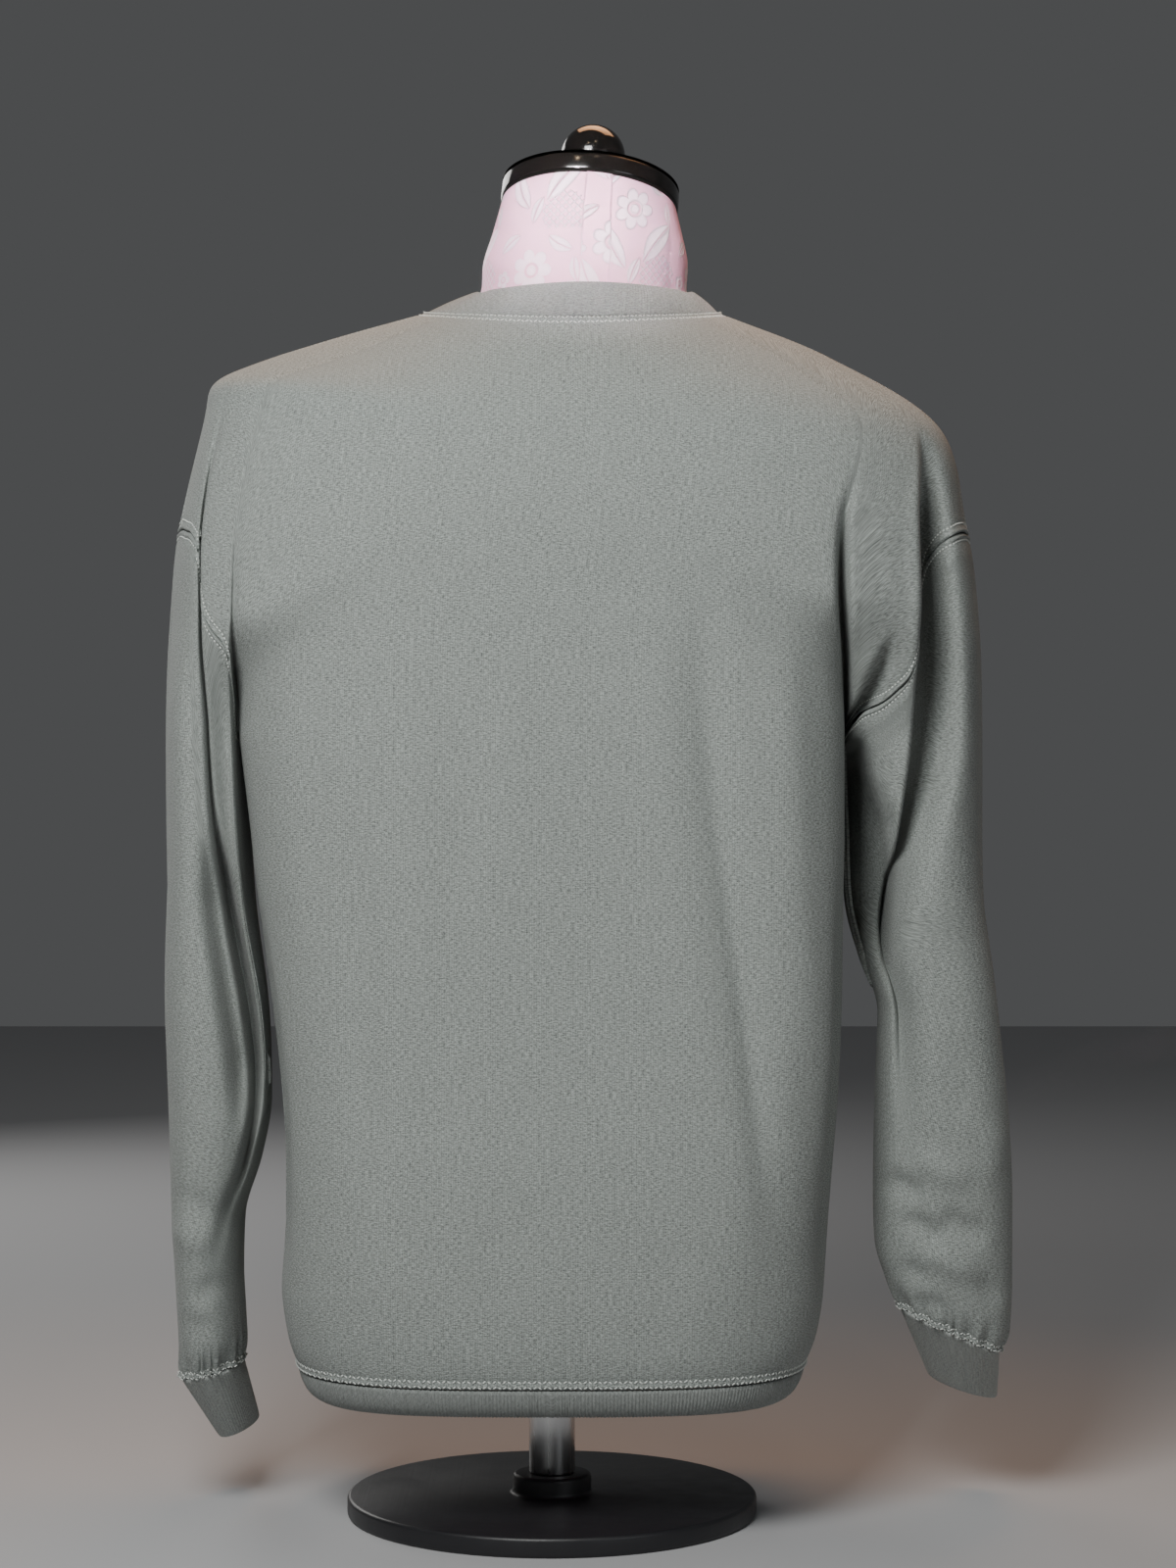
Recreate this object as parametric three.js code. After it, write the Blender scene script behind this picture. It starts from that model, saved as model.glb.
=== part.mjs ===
// A crewneck sweatshirt hanging on a limbless dress form, as it is seen from behind.
// Millimetres. +Z is up, +Y is the way the wearer would face, and +X is the wearer's right.
// The origin is the middle of the flat underside of the stand's base.
//
// The garment is cut as the real one is: a back, a front, two sleeves, a rib neckband,
// a rib waistband and two rib cuffs. All of them are walls of even thickness that follow
// one surface, the "drape". A place on the drape is given by a column and a step.
// Columns run round the body: 0 is the middle of the back, 1 the fold between body and
// sleeve, 2 the shoulder seam and the outside of the sleeve, 3 the fold at the front and
// 4 the middle of the front. They are positive on the right and negative on the left.
// Steps run up from the underarm (step 0) to the neck seam (step 5).
import * as THREE from "three";

// Driving sizes of the cloth
const CLOTH = 2.0; // brushed fleece and doubled rib
const SEAM = 0.6; // gap between two pieces that are sewn together

// Driving sizes of the garment
const UNDERARM_Z = 472;
const HEM_Z = 97; // seam of the waistband
const TOP_STEP = 5;

// How square the rings are: 2 is an ellipse, more is squarer.
const BODY_SQUARE = { back: 3.2, front: 2.8 };
const NECKLINE_SQUARE = 1.7;
const FORM_SQUARE = 2.3;
const NECK_SQUARE = 2;
const SLEEVE_POWER = 0.85; // of the sine and cosine, 1 is an ellipse and less is squarer

// Body and sleeves hang as one cloth above the parting step and part below it.
const PARTING = { step: 2.3, power: 1.1 };
// The fold between body and sleeve: its depth as a share, its width in columns, and the
// steps between which it comes and goes.
const ARM_FOLD = { depth: 0.45, width: 0.12, comes: 0.8, goes: [0.9, 2.5] };
const CREASE_GOES = [1.95, 3.05]; // steps between which the sleeve's crease runs out
const NECK_DIP = [2.2, 4.2]; // steps between which the rings start to dip in a round curve

// The body below the underarm: how far it reaches to the left, right, back and front.
const BODY = [
  { z: 97, left: 153, right: 153, back: 127, front: 132 },
  { z: 115, left: 159, right: 160, back: 131, front: 138 },
  { z: 145, left: 163, right: 165, back: 132, front: 142 },
  { z: 220, left: 163, right: 171, back: 127, front: 143 },
  { z: 265, left: 166, right: 174, back: 122, front: 142 },
  { z: 325, left: 173, right: 176, back: 118, front: 142 },
  { z: 415, left: 182, right: 177, back: 116, front: 140 },
  { z: 472, left: 189, right: 178, back: 116, front: 136 },
];

// The middle of the back and of the front, from the underarm up to the neck seam.
const MIDDLE = [
  { step: 0, backZ: 472, back: 116, frontZ: 472, front: 136, shift: 0, square: 3.0 },
  { step: 1, backZ: 540, back: 118, frontZ: 515, front: 134, shift: 3, square: 2.9 },
  { step: 2, backZ: 600, back: 117, frontZ: 556, front: 128, shift: 8, square: 2.7 },
  { step: 3, backZ: 655, back: 108, frontZ: 592, front: 118, shift: 14, square: 2.4 },
  { step: 4, backZ: 694, back: 93, frontZ: 624, front: 106, shift: 14, square: 2.15 },
  { step: 5, backZ: 721, back: 75, frontZ: 650, front: 91, shift: 12.5, square: 2.0 },
];

// The shoulder seam on each side: its height, how far out it lies, and at which angles of
// the quarter turn the body's fold (column 1) and the sleeve's crease (column 1.5) lie.
const SHOULDER = {
  right: [
    { step: 0, z: 472, reach: 265, fold: 33, crease: 48 },
    { step: 1, z: 540, reach: 263, fold: 34, crease: 49.5 },
    { step: 2, z: 600, reach: 256, fold: 37, crease: 53 },
    { step: 3, z: 661, reach: 237, fold: 45, crease: 63 },
    { step: 4, z: 704, reach: 172, fold: 50, crease: 70 },
    { step: 5, z: 733, reach: 101, fold: 55, crease: 73 },
  ],
  left: [
    { step: 0, z: 472, reach: 238, fold: 46, crease: 56 },
    { step: 1, z: 540, reach: 235, fold: 46, crease: 57 },
    { step: 2, z: 602, reach: 230, fold: 48, crease: 61 },
    { step: 2.7, z: 669, reach: 213, fold: 50, crease: 65 },
    { step: 3, z: 688, reach: 207, fold: 50, crease: 68 },
    { step: 3.3, z: 699, reach: 188, fold: 51, crease: 69 },
    { step: 4, z: 715, reach: 140, fold: 52, crease: 71 },
    { step: 5, z: 733, reach: 76, fold: 55, crease: 73 },
  ],
};

// The armhole seam on each side: the step that it has reached at each column, at the
// back of the arm. It drops from the shoulder seam into the fold and on to the underarm.
const ARMHOLE = {
  right: [
    { column: 1, step: 0 },
    { column: 1.2, step: 0.2 },
    { column: 1.43, step: 0.45 },
    { column: 1.5, step: 1.05 },
    { column: 1.57, step: 1.65 },
    { column: 1.75, step: 1.88 },
    { column: 2, step: 1.97 },
  ],
  left: [
    { column: 1, step: 0 },
    { column: 1.1, step: 0.42 },
    { column: 1.2, step: 0.72 },
    { column: 1.43, step: 1.02 },
    { column: 1.5, step: 1.37 },
    { column: 1.57, step: 1.72 },
    { column: 1.75, step: 1.9 },
    { column: 2, step: 1.97 },
  ],
};

// The hanging sleeves: the inner and outer edge, the back and front, the crease that runs
// down the empty sleeve, as the place that it has between the inner edge (1) and the outer
// edge (2), and its depth as a share of the back.
const SLEEVE = {
  right: [
    { z: 112, inner: 213, outer: 273, back: 29, front: 37, crease: 1.5, depth: 0 },
    { z: 127, inner: 204, outer: 279, back: 37, front: 45, crease: 1.5, depth: 0 },
    { z: 150, inner: 198, outer: 281, back: 42, front: 52, crease: 1.45, depth: 0 },
    { z: 198, inner: 197, outer: 281, back: 48, front: 58, crease: 1.38, depth: 0.03 },
    { z: 250, inner: 198, outer: 278, back: 52, front: 62, crease: 1.3, depth: 0.1 },
    { z: 307, inner: 200, outer: 272, back: 56, front: 68, crease: 1.25, depth: 0.3 },
    { z: 340, inner: 190, outer: 269, back: 58, front: 72, crease: 1.27, depth: 0.36 },
    { z: 373, inner: 182, outer: 266, back: 60, front: 76, crease: 1.35, depth: 0.38 },
    { z: 415, inner: 180, outer: 265, back: 62, front: 82, crease: 1.41, depth: 0.38 },
    { z: 472, inner: 178, outer: 265, back: 66, front: 88, crease: 1.47, depth: 0.38 },
    { z: 545, inner: 178, outer: 263, back: 70, front: 92, crease: 1.48, depth: 0.36 },
    { z: 661, inner: 178, outer: 250, back: 74, front: 92, crease: 1.48, depth: 0.28 },
  ],
  left: [
    { z: 88, inner: 190, outer: 226, back: 34, front: 42, crease: 1.5, depth: 0 },
    { z: 105, inner: 188, outer: 227, back: 43, front: 50, crease: 1.5, depth: 0 },
    { z: 145, inner: 190, outer: 229, back: 52, front: 60, crease: 1.42, depth: 0 },
    { z: 182, inner: 189, outer: 231, back: 58, front: 68, crease: 1.29, depth: 0.08 },
    { z: 215, inner: 179, outer: 232, back: 62, front: 74, crease: 1.25, depth: 0.25 },
    { z: 250, inner: 173, outer: 233, back: 66, front: 80, crease: 1.27, depth: 0.32 },
    { z: 307, inner: 175, outer: 235, back: 70, front: 88, crease: 1.32, depth: 0.34 },
    { z: 377, inner: 184, outer: 237, back: 72, front: 94, crease: 1.37, depth: 0.34 },
    { z: 472, inner: 189, outer: 238, back: 74, front: 98, crease: 1.4, depth: 0.34 },
    { z: 545, inner: 189, outer: 236, back: 76, front: 98, crease: 1.41, depth: 0.32 },
    { z: 661, inner: 189, outer: 226, back: 78, front: 96, crease: 1.45, depth: 0.24 },
  ],
};
const CREASE_WIDTH = 0.085; // in columns
const FRONT_CREASE = 0.7; // depth of the crease in the sleeve's front, against its back

// The cuff's seam: its height, and how it slopes across the arm round the middle x. Its
// open end: middle, half sizes and slope.
const CUFF = {
  right: {
    z: 112,
    x: 243,
    slope: -0.45,
    end: { x: 256, y: 42, z: 70, across: 21, along: 30, slope: -0.3 },
  },
  left: {
    z: 88,
    x: 208,
    slope: -0.25,
    end: { x: 195, y: 41, z: 48, across: 12, along: 33, slope: -0.6 },
  },
};
const CUFF_ROWS = 4;
const CUFF_SLOPE_REACH = 100; // how far up the sleeve the cuff's slope is felt

// The waistband, from its seam down and in under the form: how far in, and how high.
const WAISTBAND = [
  { down: 0, inward: 0.3, z: HEM_Z - SEAM },
  { down: 1, inward: 2.5, z: 89 },
  { down: 2, inward: 7, z: 82.5 },
  { down: 3, inward: 15, z: 79 },
  { down: 4, inward: 28, z: 79 },
  { down: 5, inward: 42, z: 82 },
];

// The neckband, from the neck seam up to its folded edge: rise and tuck on each face, and
// how far its edge is shifted to the right.
const NECKBAND = {
  back: { rise: 22, tuck: 13 },
  side: { rise: 14, tuck: 19.5 },
  front: { rise: 13, tuck: 21 },
  shift: 6,
  rows: 2,
  belly: 1.6, // how far it bulges between its two edges
};

// Vertical drapes of the body: the column that each one runs along, how far it is moved
// at its strongest (outward is positive), how wide it is, and between which heights.
const DRAPE_FADE = { low: 60, high: 120 }; // over how much height a drape comes and goes
const DRAPES = [
  { column: 0.82, move: -7, width: 0.1, low: 130, high: 420 },
  { column: 3.3, move: -12, width: 0.14, low: 120, high: 500 },
  { column: 3.62, move: 7, width: 0.12, low: 110, high: 560 },
  { column: -0.86, move: -8, width: 0.1, low: 140, high: 400 },
  { column: -3.28, move: -12, width: 0.13, low: 120, high: 500 },
  { column: -3.58, move: 8, width: 0.13, low: 110, high: 570 },
  { column: 0.3, move: 2.5, width: 0.14, low: 110, high: 600 },
  { column: -0.28, move: 3, width: 0.13, low: 110, high: 580 },
];

// The mesh of the cloth
const BODY_COLUMNS = 9; // from the middle to the fold, on each side of each panel
const ARM_STATIONS = [
  1, 1.1, 1.2, 1.29, 1.37, 1.43, 1.475, 1.525, 1.57, 1.63, 1.71, 1.8, 1.9, 2,
]; // from the fold to the shoulder seam, closer together at the crease
const BODY_ROWS = 9; // from the waistband to the underarm
const YOKE_ROWS = 13; // from the underarm to the neck
const SLEEVE_ROWS = 15;
const ROWS_CROWD = 0.9; // under 1 the rows lie closer together towards the armhole
const ARM_COLUMNS = ARM_STATIONS.length - 1;

// The dress form under the garment, from its flat lower end to the shoulders. Its rings
// dip towards the front by the drop.
const FORM = [
  { z: 108, drop: 0, wide: 128, back: 94, front: 94, shift: 0 },
  { z: 116, drop: 0, wide: 136, back: 100, front: 100, shift: 0 },
  { z: 140, drop: 0, wide: 143, back: 106, front: 105, shift: 0 },
  { z: 190, drop: 0, wide: 149, back: 112, front: 108, shift: 0 },
  { z: 240, drop: 0, wide: 145, back: 106, front: 106, shift: 0 },
  { z: 290, drop: 0, wide: 131, back: 96, front: 100, shift: 0 },
  { z: 345, drop: 0, wide: 120, back: 90, front: 97, shift: 1 },
  { z: 395, drop: 0, wide: 127, back: 94, front: 105, shift: 1 },
  { z: 445, drop: 2, wide: 139, back: 99, front: 116, shift: 2 },
  { z: 495, drop: 5, wide: 150, back: 105, front: 123, shift: 4 },
  { z: 545, drop: 12, wide: 153, back: 109, front: 121, shift: 6 },
  { z: 590, drop: 26, wide: 157, back: 109, front: 116, shift: 9 },
  { z: 630, drop: 48, wide: 166, back: 103, front: 110, shift: 11 },
  { z: 660, drop: 66, wide: 178, back: 96, front: 104, shift: 13 },
];
const FRONT_DIP = 1.6; // the column out to which the front of a ring dips
const FORM_SHOULDERS = [ // steps at which it carries the cloth, and how close it comes
  { step: 3.5, clear: 2.8 },
  { step: 3.8, clear: 1.7 },
  { step: 4.1, clear: 1.1 },
  { step: 4.4, clear: 1 },
  { step: 4.7, clear: 1 },
  { step: 5, clear: 1 },
];
const FORM_QUARTER = 10; // columns in a quarter turn
const NECK = [
  { backZ: 740, sideZ: 740, frontZ: 656, wide: 65, back: 56, front: 60, shift: 18.5 },
  { backZ: 764, sideZ: 764, frontZ: 694, wide: 62.5, back: 54.5, front: 57, shift: 20.5 },
  { backZ: 782, sideZ: 781, frontZ: 742, wide: 58, back: 53.5, front: 55, shift: 21.5 },
];
const NECK_TOP = { x: 22.8, y: 3, z: 798, radius: 53.5 };
const NECK_TILT_BACK = THREE.MathUtils.degToRad(13.5); // the cap is higher at the back
const NECK_TILT_SIDE = THREE.MathUtils.degToRad(4);

// The cap, the finial and the stand
const CAP = { radius: 54.5, height: 13, edge: 3, dome: 1.5, flat: 19 };
const FINIAL = { radius: 19.8, neckRadius: 11, neckHeight: 2.5 };
const POLE_RADIUS = 14;
const BASE = { radius: 125, height: 12, edge: 4, foot: 1 };
const COLLAR = { radius: 24, height: 12, edge: 2, fillet: 3 };
const ROUND = 40; // sides of a turned piece
const TOUCH = 0.3; // gap between two hard pieces that rest on each other

// The value of one named column of a table, at a place between its rows.
function read(table, key, place, name) {
  let i = 0;
  while (i < table.length - 2 && table[i + 1][key] < place) i += 1;
  const from = table[i];
  const to = table[i + 1];
  const before = table[Math.max(i - 1, 0)];
  const after = table[Math.min(i + 2, table.length - 1)];
  const span = to[key] - from[key];
  const u = THREE.MathUtils.clamp((place - from[key]) / span, 0, 1);
  const rise = to[name] - from[name];
  const slope = (a, b) => ((b[name] - a[name]) / Math.max(b[key] - a[key], 1e-6)) * span;
  const calm = (s) => THREE.MathUtils.clamp(s, Math.min(0, 3 * rise), Math.max(0, 3 * rise));
  const out = calm(slope(before, to));
  const into = calm(slope(from, after));
  const u2 = u * u;
  const u3 = u2 * u;
  return (
    from[name] * (2 * u3 - 3 * u2 + 1) +
    to[name] * (3 * u2 - 2 * u3) +
    out * (u3 - 2 * u2 + u) +
    into * (u3 - u2)
  );
}

const smooth = (u) => THREE.MathUtils.smoothstep(u, 0, 1);
const between = (at, [from, to]) => THREE.MathUtils.smoothstep(at, from, to);
const bump = (distance, width) => Math.exp(-((distance / width) ** 2));
const sideOf = (column) => (column < 0 ? "left" : "right");

// A quarter of a rounded rectangle: shares of its width and depth at an angle from 0 to 90.
function corner(degrees, square) {
  const a = THREE.MathUtils.degToRad(THREE.MathUtils.clamp(degrees, 0, 90));
  return {
    across: Math.sin(a) ** (2 / square),
    along: Math.max(Math.cos(a), 0) ** (2 / square),
  };
}

// A column's side (-1 left, 1 right), face (-1 back, 1 front) and place from 0 to 2.
function place(column) {
  const c = Math.abs(column);
  return { side: column < 0 ? -1 : 1, face: c > 2 ? 1 : -1, c: c > 2 ? 4 - c : c };
}

// A curve through one value at column 1, one at 1.5 and one at 2.
function through(first, middle, last, c) {
  const u = c - 1;
  return first + (4 * middle - 3 * first - last) * u + (2 * first + 2 * last - 4 * middle) * u * u;
}

// The drapes move the body straight out from its middle axis.
function drapeAt(column, z) {
  let moved = 0;
  for (const d of DRAPES) {
    if (Math.sign(d.column) !== Math.sign(column || 1) && Math.abs(d.column) > 0.5) continue;
    const fade = smooth((z - d.low) / DRAPE_FADE.low) * smooth((d.high - z) / DRAPE_FADE.high);
    moved += d.move * fade * bump(column - d.column, d.width);
  }
  return moved;
}

function push(point, amount) {
  const reach = Math.hypot(point.x, point.y);
  return point.add(new THREE.Vector3(point.x, point.y, 0).multiplyScalar(amount / reach));
}

// The body's own ring, below the underarm. Column 1 or 3 is the side seam.
function bodyPoint(column, z) {
  const { side, face, c } = place(column);
  const reach = read(BODY, "z", z, side < 0 ? "left" : "right");
  const depth = read(BODY, "z", z, face < 0 ? "back" : "front");
  const q = corner(90 * Math.min(c, 1), face < 0 ? BODY_SQUARE.back : BODY_SQUARE.front);
  return new THREE.Vector3(side * reach * q.across, face * depth * q.along, z);
}

// The sleeve's ring. Column 1 or 3 is its inner edge, 2 is its outer edge.
function sleeveRing(column, z) {
  const { side, face, c } = place(column);
  const table = SLEEVE[side < 0 ? "left" : "right"];
  const inner = read(table, "z", z, "inner");
  const outer = read(table, "z", z, "outer");
  const depth = read(table, "z", z, face < 0 ? "back" : "front");
  const turn = through(0, read(table, "z", z, "crease") - 1, 1, c) * Math.PI;
  const round = (v) => Math.sign(v) * Math.abs(v) ** SLEEVE_POWER;
  const middle = (inner + outer) / 2;
  const x = middle - ((outer - inner) / 2) * round(Math.cos(turn));
  return new THREE.Vector3(side * x, face * depth * round(Math.sin(turn)), z);
}

// How much the crease in the back or front of the sleeve draws the cloth in at a column.
function armCrease(column, z) {
  const { side, face, c } = place(column);
  const depth = read(SLEEVE[side < 0 ? "left" : "right"], "z", z, "depth");
  return depth * (face < 0 ? 1 : FRONT_CREASE) * bump(c - 1.5, CREASE_WIDTH);
}

// The angle of a column round the drape's ring at a step.
function yokeAngle(column, step) {
  const { side, c } = place(column);
  const rows = SHOULDER[side < 0 ? "left" : "right"];
  const fold = read(rows, "step", step, "fold");
  return c <= 1 ? c * fold : through(fold, read(rows, "step", step, "crease"), 90, c);
}

// The height of the drape at a column and a step. Near the neck the rings dip to the
// front in a round curve, below that only the body's part of them dips.
function yokeHeight(column, step) {
  const { side, face, c } = place(column);
  const edge = read(SHOULDER[side < 0 ? "left" : "right"], "step", step, "z");
  const centre = read(MIDDLE, "step", step, face < 0 ? "backZ" : "frontZ");
  const round = corner(yokeAngle(column, step), NECKLINE_SQUARE).along;
  const onBody = smooth(1 - Math.min(c, 1));
  return edge + (centre - edge) * THREE.MathUtils.lerp(onBody, round, between(step, NECK_DIP));
}

// The drape above the underarm, where body and sleeves hang from the shoulders as one.
function yokePoint(column, step) {
  const { side, face } = place(column);
  const rows = SHOULDER[side < 0 ? "left" : "right"];
  const square = read(MIDDLE, "step", step, "square");
  const shift = read(MIDDLE, "step", step, "shift");
  const depth = read(MIDDLE, "step", step, face < 0 ? "back" : "front");
  const q = corner(yokeAngle(column, step), square);
  const reach = read(rows, "step", step, "reach") - side * shift;
  const z = yokeHeight(column, step);
  return new THREE.Vector3(shift + side * reach * q.across, face * depth * q.along, z);
}

// A point of the drape above the underarm. Near the underarm, body and sleeve part.
function upper(column, step) {
  const { c } = place(column);
  const whole = yokePoint(column, step);
  const z = whole.z;
  const parted = c <= 1 ? bodyPoint(column, z) : sleeveRing(column, z);
  parted.z = z;
  const point = parted.lerp(whole, smooth(step / PARTING.step) ** PARTING.power);
  const fade = smooth(step / ARM_FOLD.comes) * (1 - between(step, ARM_FOLD.goes));
  const fold = ARM_FOLD.depth * fade * bump(c - 1, ARM_FOLD.width);
  const hollow = c > 1 ? armCrease(column, z) * (1 - between(step, CREASE_GOES)) : 0;
  point.y *= (1 - fold) * (1 - hollow);
  return c <= 1 ? push(point, drapeAt(column, z)) : point;
}

function body(column, z) {
  return push(bodyPoint(column, z), drapeAt(column, z));
}

function sleeve(column, z) {
  const point = sleeveRing(column, z);
  point.y *= 1 - armCrease(column, z);
  const cuff = CUFF[sideOf(column)];
  const near = smooth((cuff.z + CUFF_SLOPE_REACH - z) / CUFF_SLOPE_REACH);
  point.z += near * cuff.slope * (Math.abs(point.x) - cuff.x);
  return point;
}

// The cuff, from its open end (share 0) to the sleeve (share 1).
function cuffPoint(column, share) {
  const { side, face, c } = place(column);
  const { z, end } = CUFF[sideOf(column)];
  const top = sleeve(column, z);
  const turn = (c - 1) * Math.PI;
  const x = end.x - end.across * Math.cos(turn);
  const y = end.y + face * end.along * Math.sin(turn);
  const low = new THREE.Vector3(side * x, y, end.z + end.slope * (x - end.x));
  return low.lerp(top, share);
}

// The waistband, from its seam (row 0) down and round under the form.
function bandPoint(column, down) {
  const out = body(column, HEM_Z);
  const near = 0.02;
  const along = body(column + near, HEM_Z).sub(body(column - near, HEM_Z)).normalize();
  const inward = new THREE.Vector3(-along.y, along.x, 0);
  const amount = read(WAISTBAND, "down", down, "inward");
  const point = out.addScaledVector(inward, amount);
  point.z = read(WAISTBAND, "down", down, "z");
  return point;
}

// The neckband, from its seam (share 0) to its folded edge (share 1).
function neckPoint(column, share) {
  const { face, c } = place(column);
  const low = upper(column, TOP_STEP);
  const centre = read(MIDDLE, "step", TOP_STEP, "shift");
  const ways = face < 0 ? NECKBAND.back : NECKBAND.front;
  const middle = smooth(1 - c / FRONT_DIP);
  const rise = THREE.MathUtils.lerp(NECKBAND.side.rise, ways.rise, middle);
  const tuck = THREE.MathUtils.lerp(NECKBAND.side.tuck, ways.tuck, middle);
  const out = new THREE.Vector3(low.x - centre, low.y, 0).normalize();
  const bulge = NECKBAND.belly * Math.sin(Math.PI * share);
  low.addScaledVector(out, bulge - tuck * share);
  low.x += NECKBAND.shift * share;
  low.z += rise * share + bulge;
  return low;
}

// The outward normal of a surface at a place, from points close round it.
function normalOf(surface, column, along, flip = 1) {
  const dc = 0.012; // columns
  const da = 0.02; // steps, shares or millimetres
  const turn = (c) => (c > 4 ? c - 8 : c < -4 ? c + 8 : c);
  const east = surface(turn(column + dc), along).sub(surface(turn(column - dc), along));
  const north = surface(column, along + da * flip).sub(surface(column, along - da * flip));
  return east.cross(north).normalize();
}

function named(geometry, colour, roughness, name) {
  const finish = new THREE.MeshStandardMaterial({ color: colour, roughness });
  const mesh = new THREE.Mesh(geometry, finish);
  mesh.name = name;
  return mesh;
}

const MITER_LIMIT = 1.6; // how much further a sharp corner is drawn back than an edge

// A closed wall from the points of its outer face, their outward normals and its quads.
// Edges that only one quad has are seams: they are drawn back by half the seam's gap.
function wall(points, normals, quads, colour, name) {
  const count = points.length;
  const used = new Set();
  for (const q of quads) q.forEach((a, i) => used.add(a + ">" + q[(i + 1) % 4]));
  const rim = [];
  for (const q of quads) {
    q.forEach((a, i) => {
      const b = q[(i + 1) % 4];
      if (!used.has(b + ">" + a)) rim.push([a, b]);
    });
  }
  const tangents = new Map();
  for (const [a, b] of rim) {
    const along = points[b].clone().sub(points[a]).normalize();
    for (const i of [a, b]) {
      const inward = normals[i].clone().cross(along).normalize();
      tangents.set(i, [...(tangents.get(i) || []), inward]);
    }
  }
  const outer = points.map((p, i) => {
    const ways = tangents.get(i);
    if (!ways) return p.clone();
    const mean = ways.reduce((sum, w) => sum.add(w), new THREE.Vector3()).normalize();
    const miter = 1 / Math.max(mean.dot(ways[0]), 1 / MITER_LIMIT);
    return p.clone().addScaledVector(mean, (SEAM / 2) * miter);
  });
  const inner = outer.map((p, i) => p.clone().addScaledVector(normals[i], -CLOTH));
  const index = [];
  for (const [a, b, c, d] of quads) {
    const turned = outer[b].distanceTo(outer[d]) < outer[a].distanceTo(outer[c]);
    const faces = turned ? [[a, b, d], [b, c, d]] : [[a, b, c], [a, c, d]];
    for (const [i, j, k] of faces) index.push(i, j, k, count + i, count + k, count + j);
  }
  for (const [a, b] of rim) {
    const [c, d] = [count + a, count + b];
    const across = (i, j) => outer[i].distanceTo(inner[j]);
    const short = across(b, a) < across(a, b);
    index.push(...(short ? [b, a, c, b, c, d] : [b, a, d, a, c, d]));
  }
  const geometry = new THREE.BufferGeometry().setFromPoints([...outer, ...inner]);
  geometry.setIndex(index);
  return named(geometry, colour, 0.95, name);
}

// A wall over a grid: rows run up, columns run to the right as seen from outside.
function gridWall(rows, columns, closed, pointAt, normalAt, colour, name) {
  const wide = closed ? columns : columns + 1;
  const points = [];
  const normals = [];
  for (let r = 0; r <= rows; r += 1) {
    for (let c = 0; c < wide; c += 1) {
      points.push(pointAt(c, r));
      normals.push(normalAt(c, r));
    }
  }
  const at = (c, r) => r * wide + (c % wide);
  const quads = [];
  for (let r = 0; r < rows; r += 1) {
    for (let c = 0; c < columns; c += 1) {
      quads.push([at(c, r), at(c + 1, r), at(c + 1, r + 1), at(c, r + 1)]);
    }
  }
  return wall(points, normals, quads, colour, name);
}

const FLEECE = 0x7f857c;
const RIB = 0x787e75;
const COVER = 0xe9dcd6;
const GLOSS_BLACK = 0x0c0c0d;
const PAINT = 0x141416;
const STEEL = 0x9a9c9e;

// The place from 0 to 2 of the nth column from the middle.
const station = (n) => (n <= BODY_COLUMNS ? n / BODY_COLUMNS : ARM_STATIONS[n - BODY_COLUMNS]);

// A panel: the back (face -1) or the front (face 1). Its columns are counted from its
// left edge as seen from outside, its rows from the waistband.
function panel(face, name) {
  const half = BODY_COLUMNS + ARM_COLUMNS;
  const columnOf = (j) => {
    const n = Math.abs(j);
    const c = station(n);
    const side = (face < 0 ? 1 : -1) * Math.sign(j || 1);
    return side * (face < 0 ? c : 4 - c);
  };
  const stepOf = (column, r) => {
    const { c } = place(column);
    const low = c <= 1 ? 0 : read(ARMHOLE[sideOf(column)], "column", c, "step");
    return low + (TOP_STEP - low) * (r / YOKE_ROWS);
  };
  const points = [];
  const normals = [];
  const index = new Map();
  const keep = (j, r, point, normal) => {
    index.set(j + "," + r, points.length);
    points.push(point);
    normals.push(normal);
  };
  const sideNormal = (j) => new THREE.Vector3((face < 0 ? 1 : -1) * Math.sign(j), 0, 0);
  for (let r = -BODY_ROWS; r < 0; r += 1) {
    const z = UNDERARM_Z + ((UNDERARM_Z - HEM_Z) * r) / BODY_ROWS;
    for (let j = -BODY_COLUMNS; j <= BODY_COLUMNS; j += 1) {
      const column = columnOf(j);
      const edge = Math.abs(j) === BODY_COLUMNS;
      keep(j, r, body(column, z), edge ? sideNormal(j) : normalOf(body, column, z));
    }
  }
  for (let r = 0; r <= YOKE_ROWS; r += 1) {
    for (let j = -half; j <= half; j += 1) {
      const column = columnOf(j);
      const step = stepOf(column, r);
      const edge = r === 0 && Math.abs(j) === BODY_COLUMNS;
      const normal = edge ? sideNormal(j) : normalOf(upper, column, step);
      keep(j, r, upper(column, step), normal);
    }
  }
  const quads = [];
  for (let r = -BODY_ROWS; r < YOKE_ROWS; r += 1) {
    const reach = r < 0 ? BODY_COLUMNS : half;
    for (let j = -reach; j < reach; j += 1) {
      const at = (a, b) => index.get(a + "," + b);
      quads.push([at(j, r), at(j + 1, r), at(j + 1, r + 1), at(j, r + 1)]);
    }
  }
  return wall(points, normals, quads, FLEECE, name);
}

// The arm's columns, from the underarm round the back and the outside to the front.
const ARM_STEPS = 2 * ARM_COLUMNS;
const armColumn = (side, j) => {
  const c = j <= ARM_COLUMNS ? ARM_STATIONS[j] : 4 - ARM_STATIONS[ARM_STEPS - j];
  return side === "right" ? c : -c;
};

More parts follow.
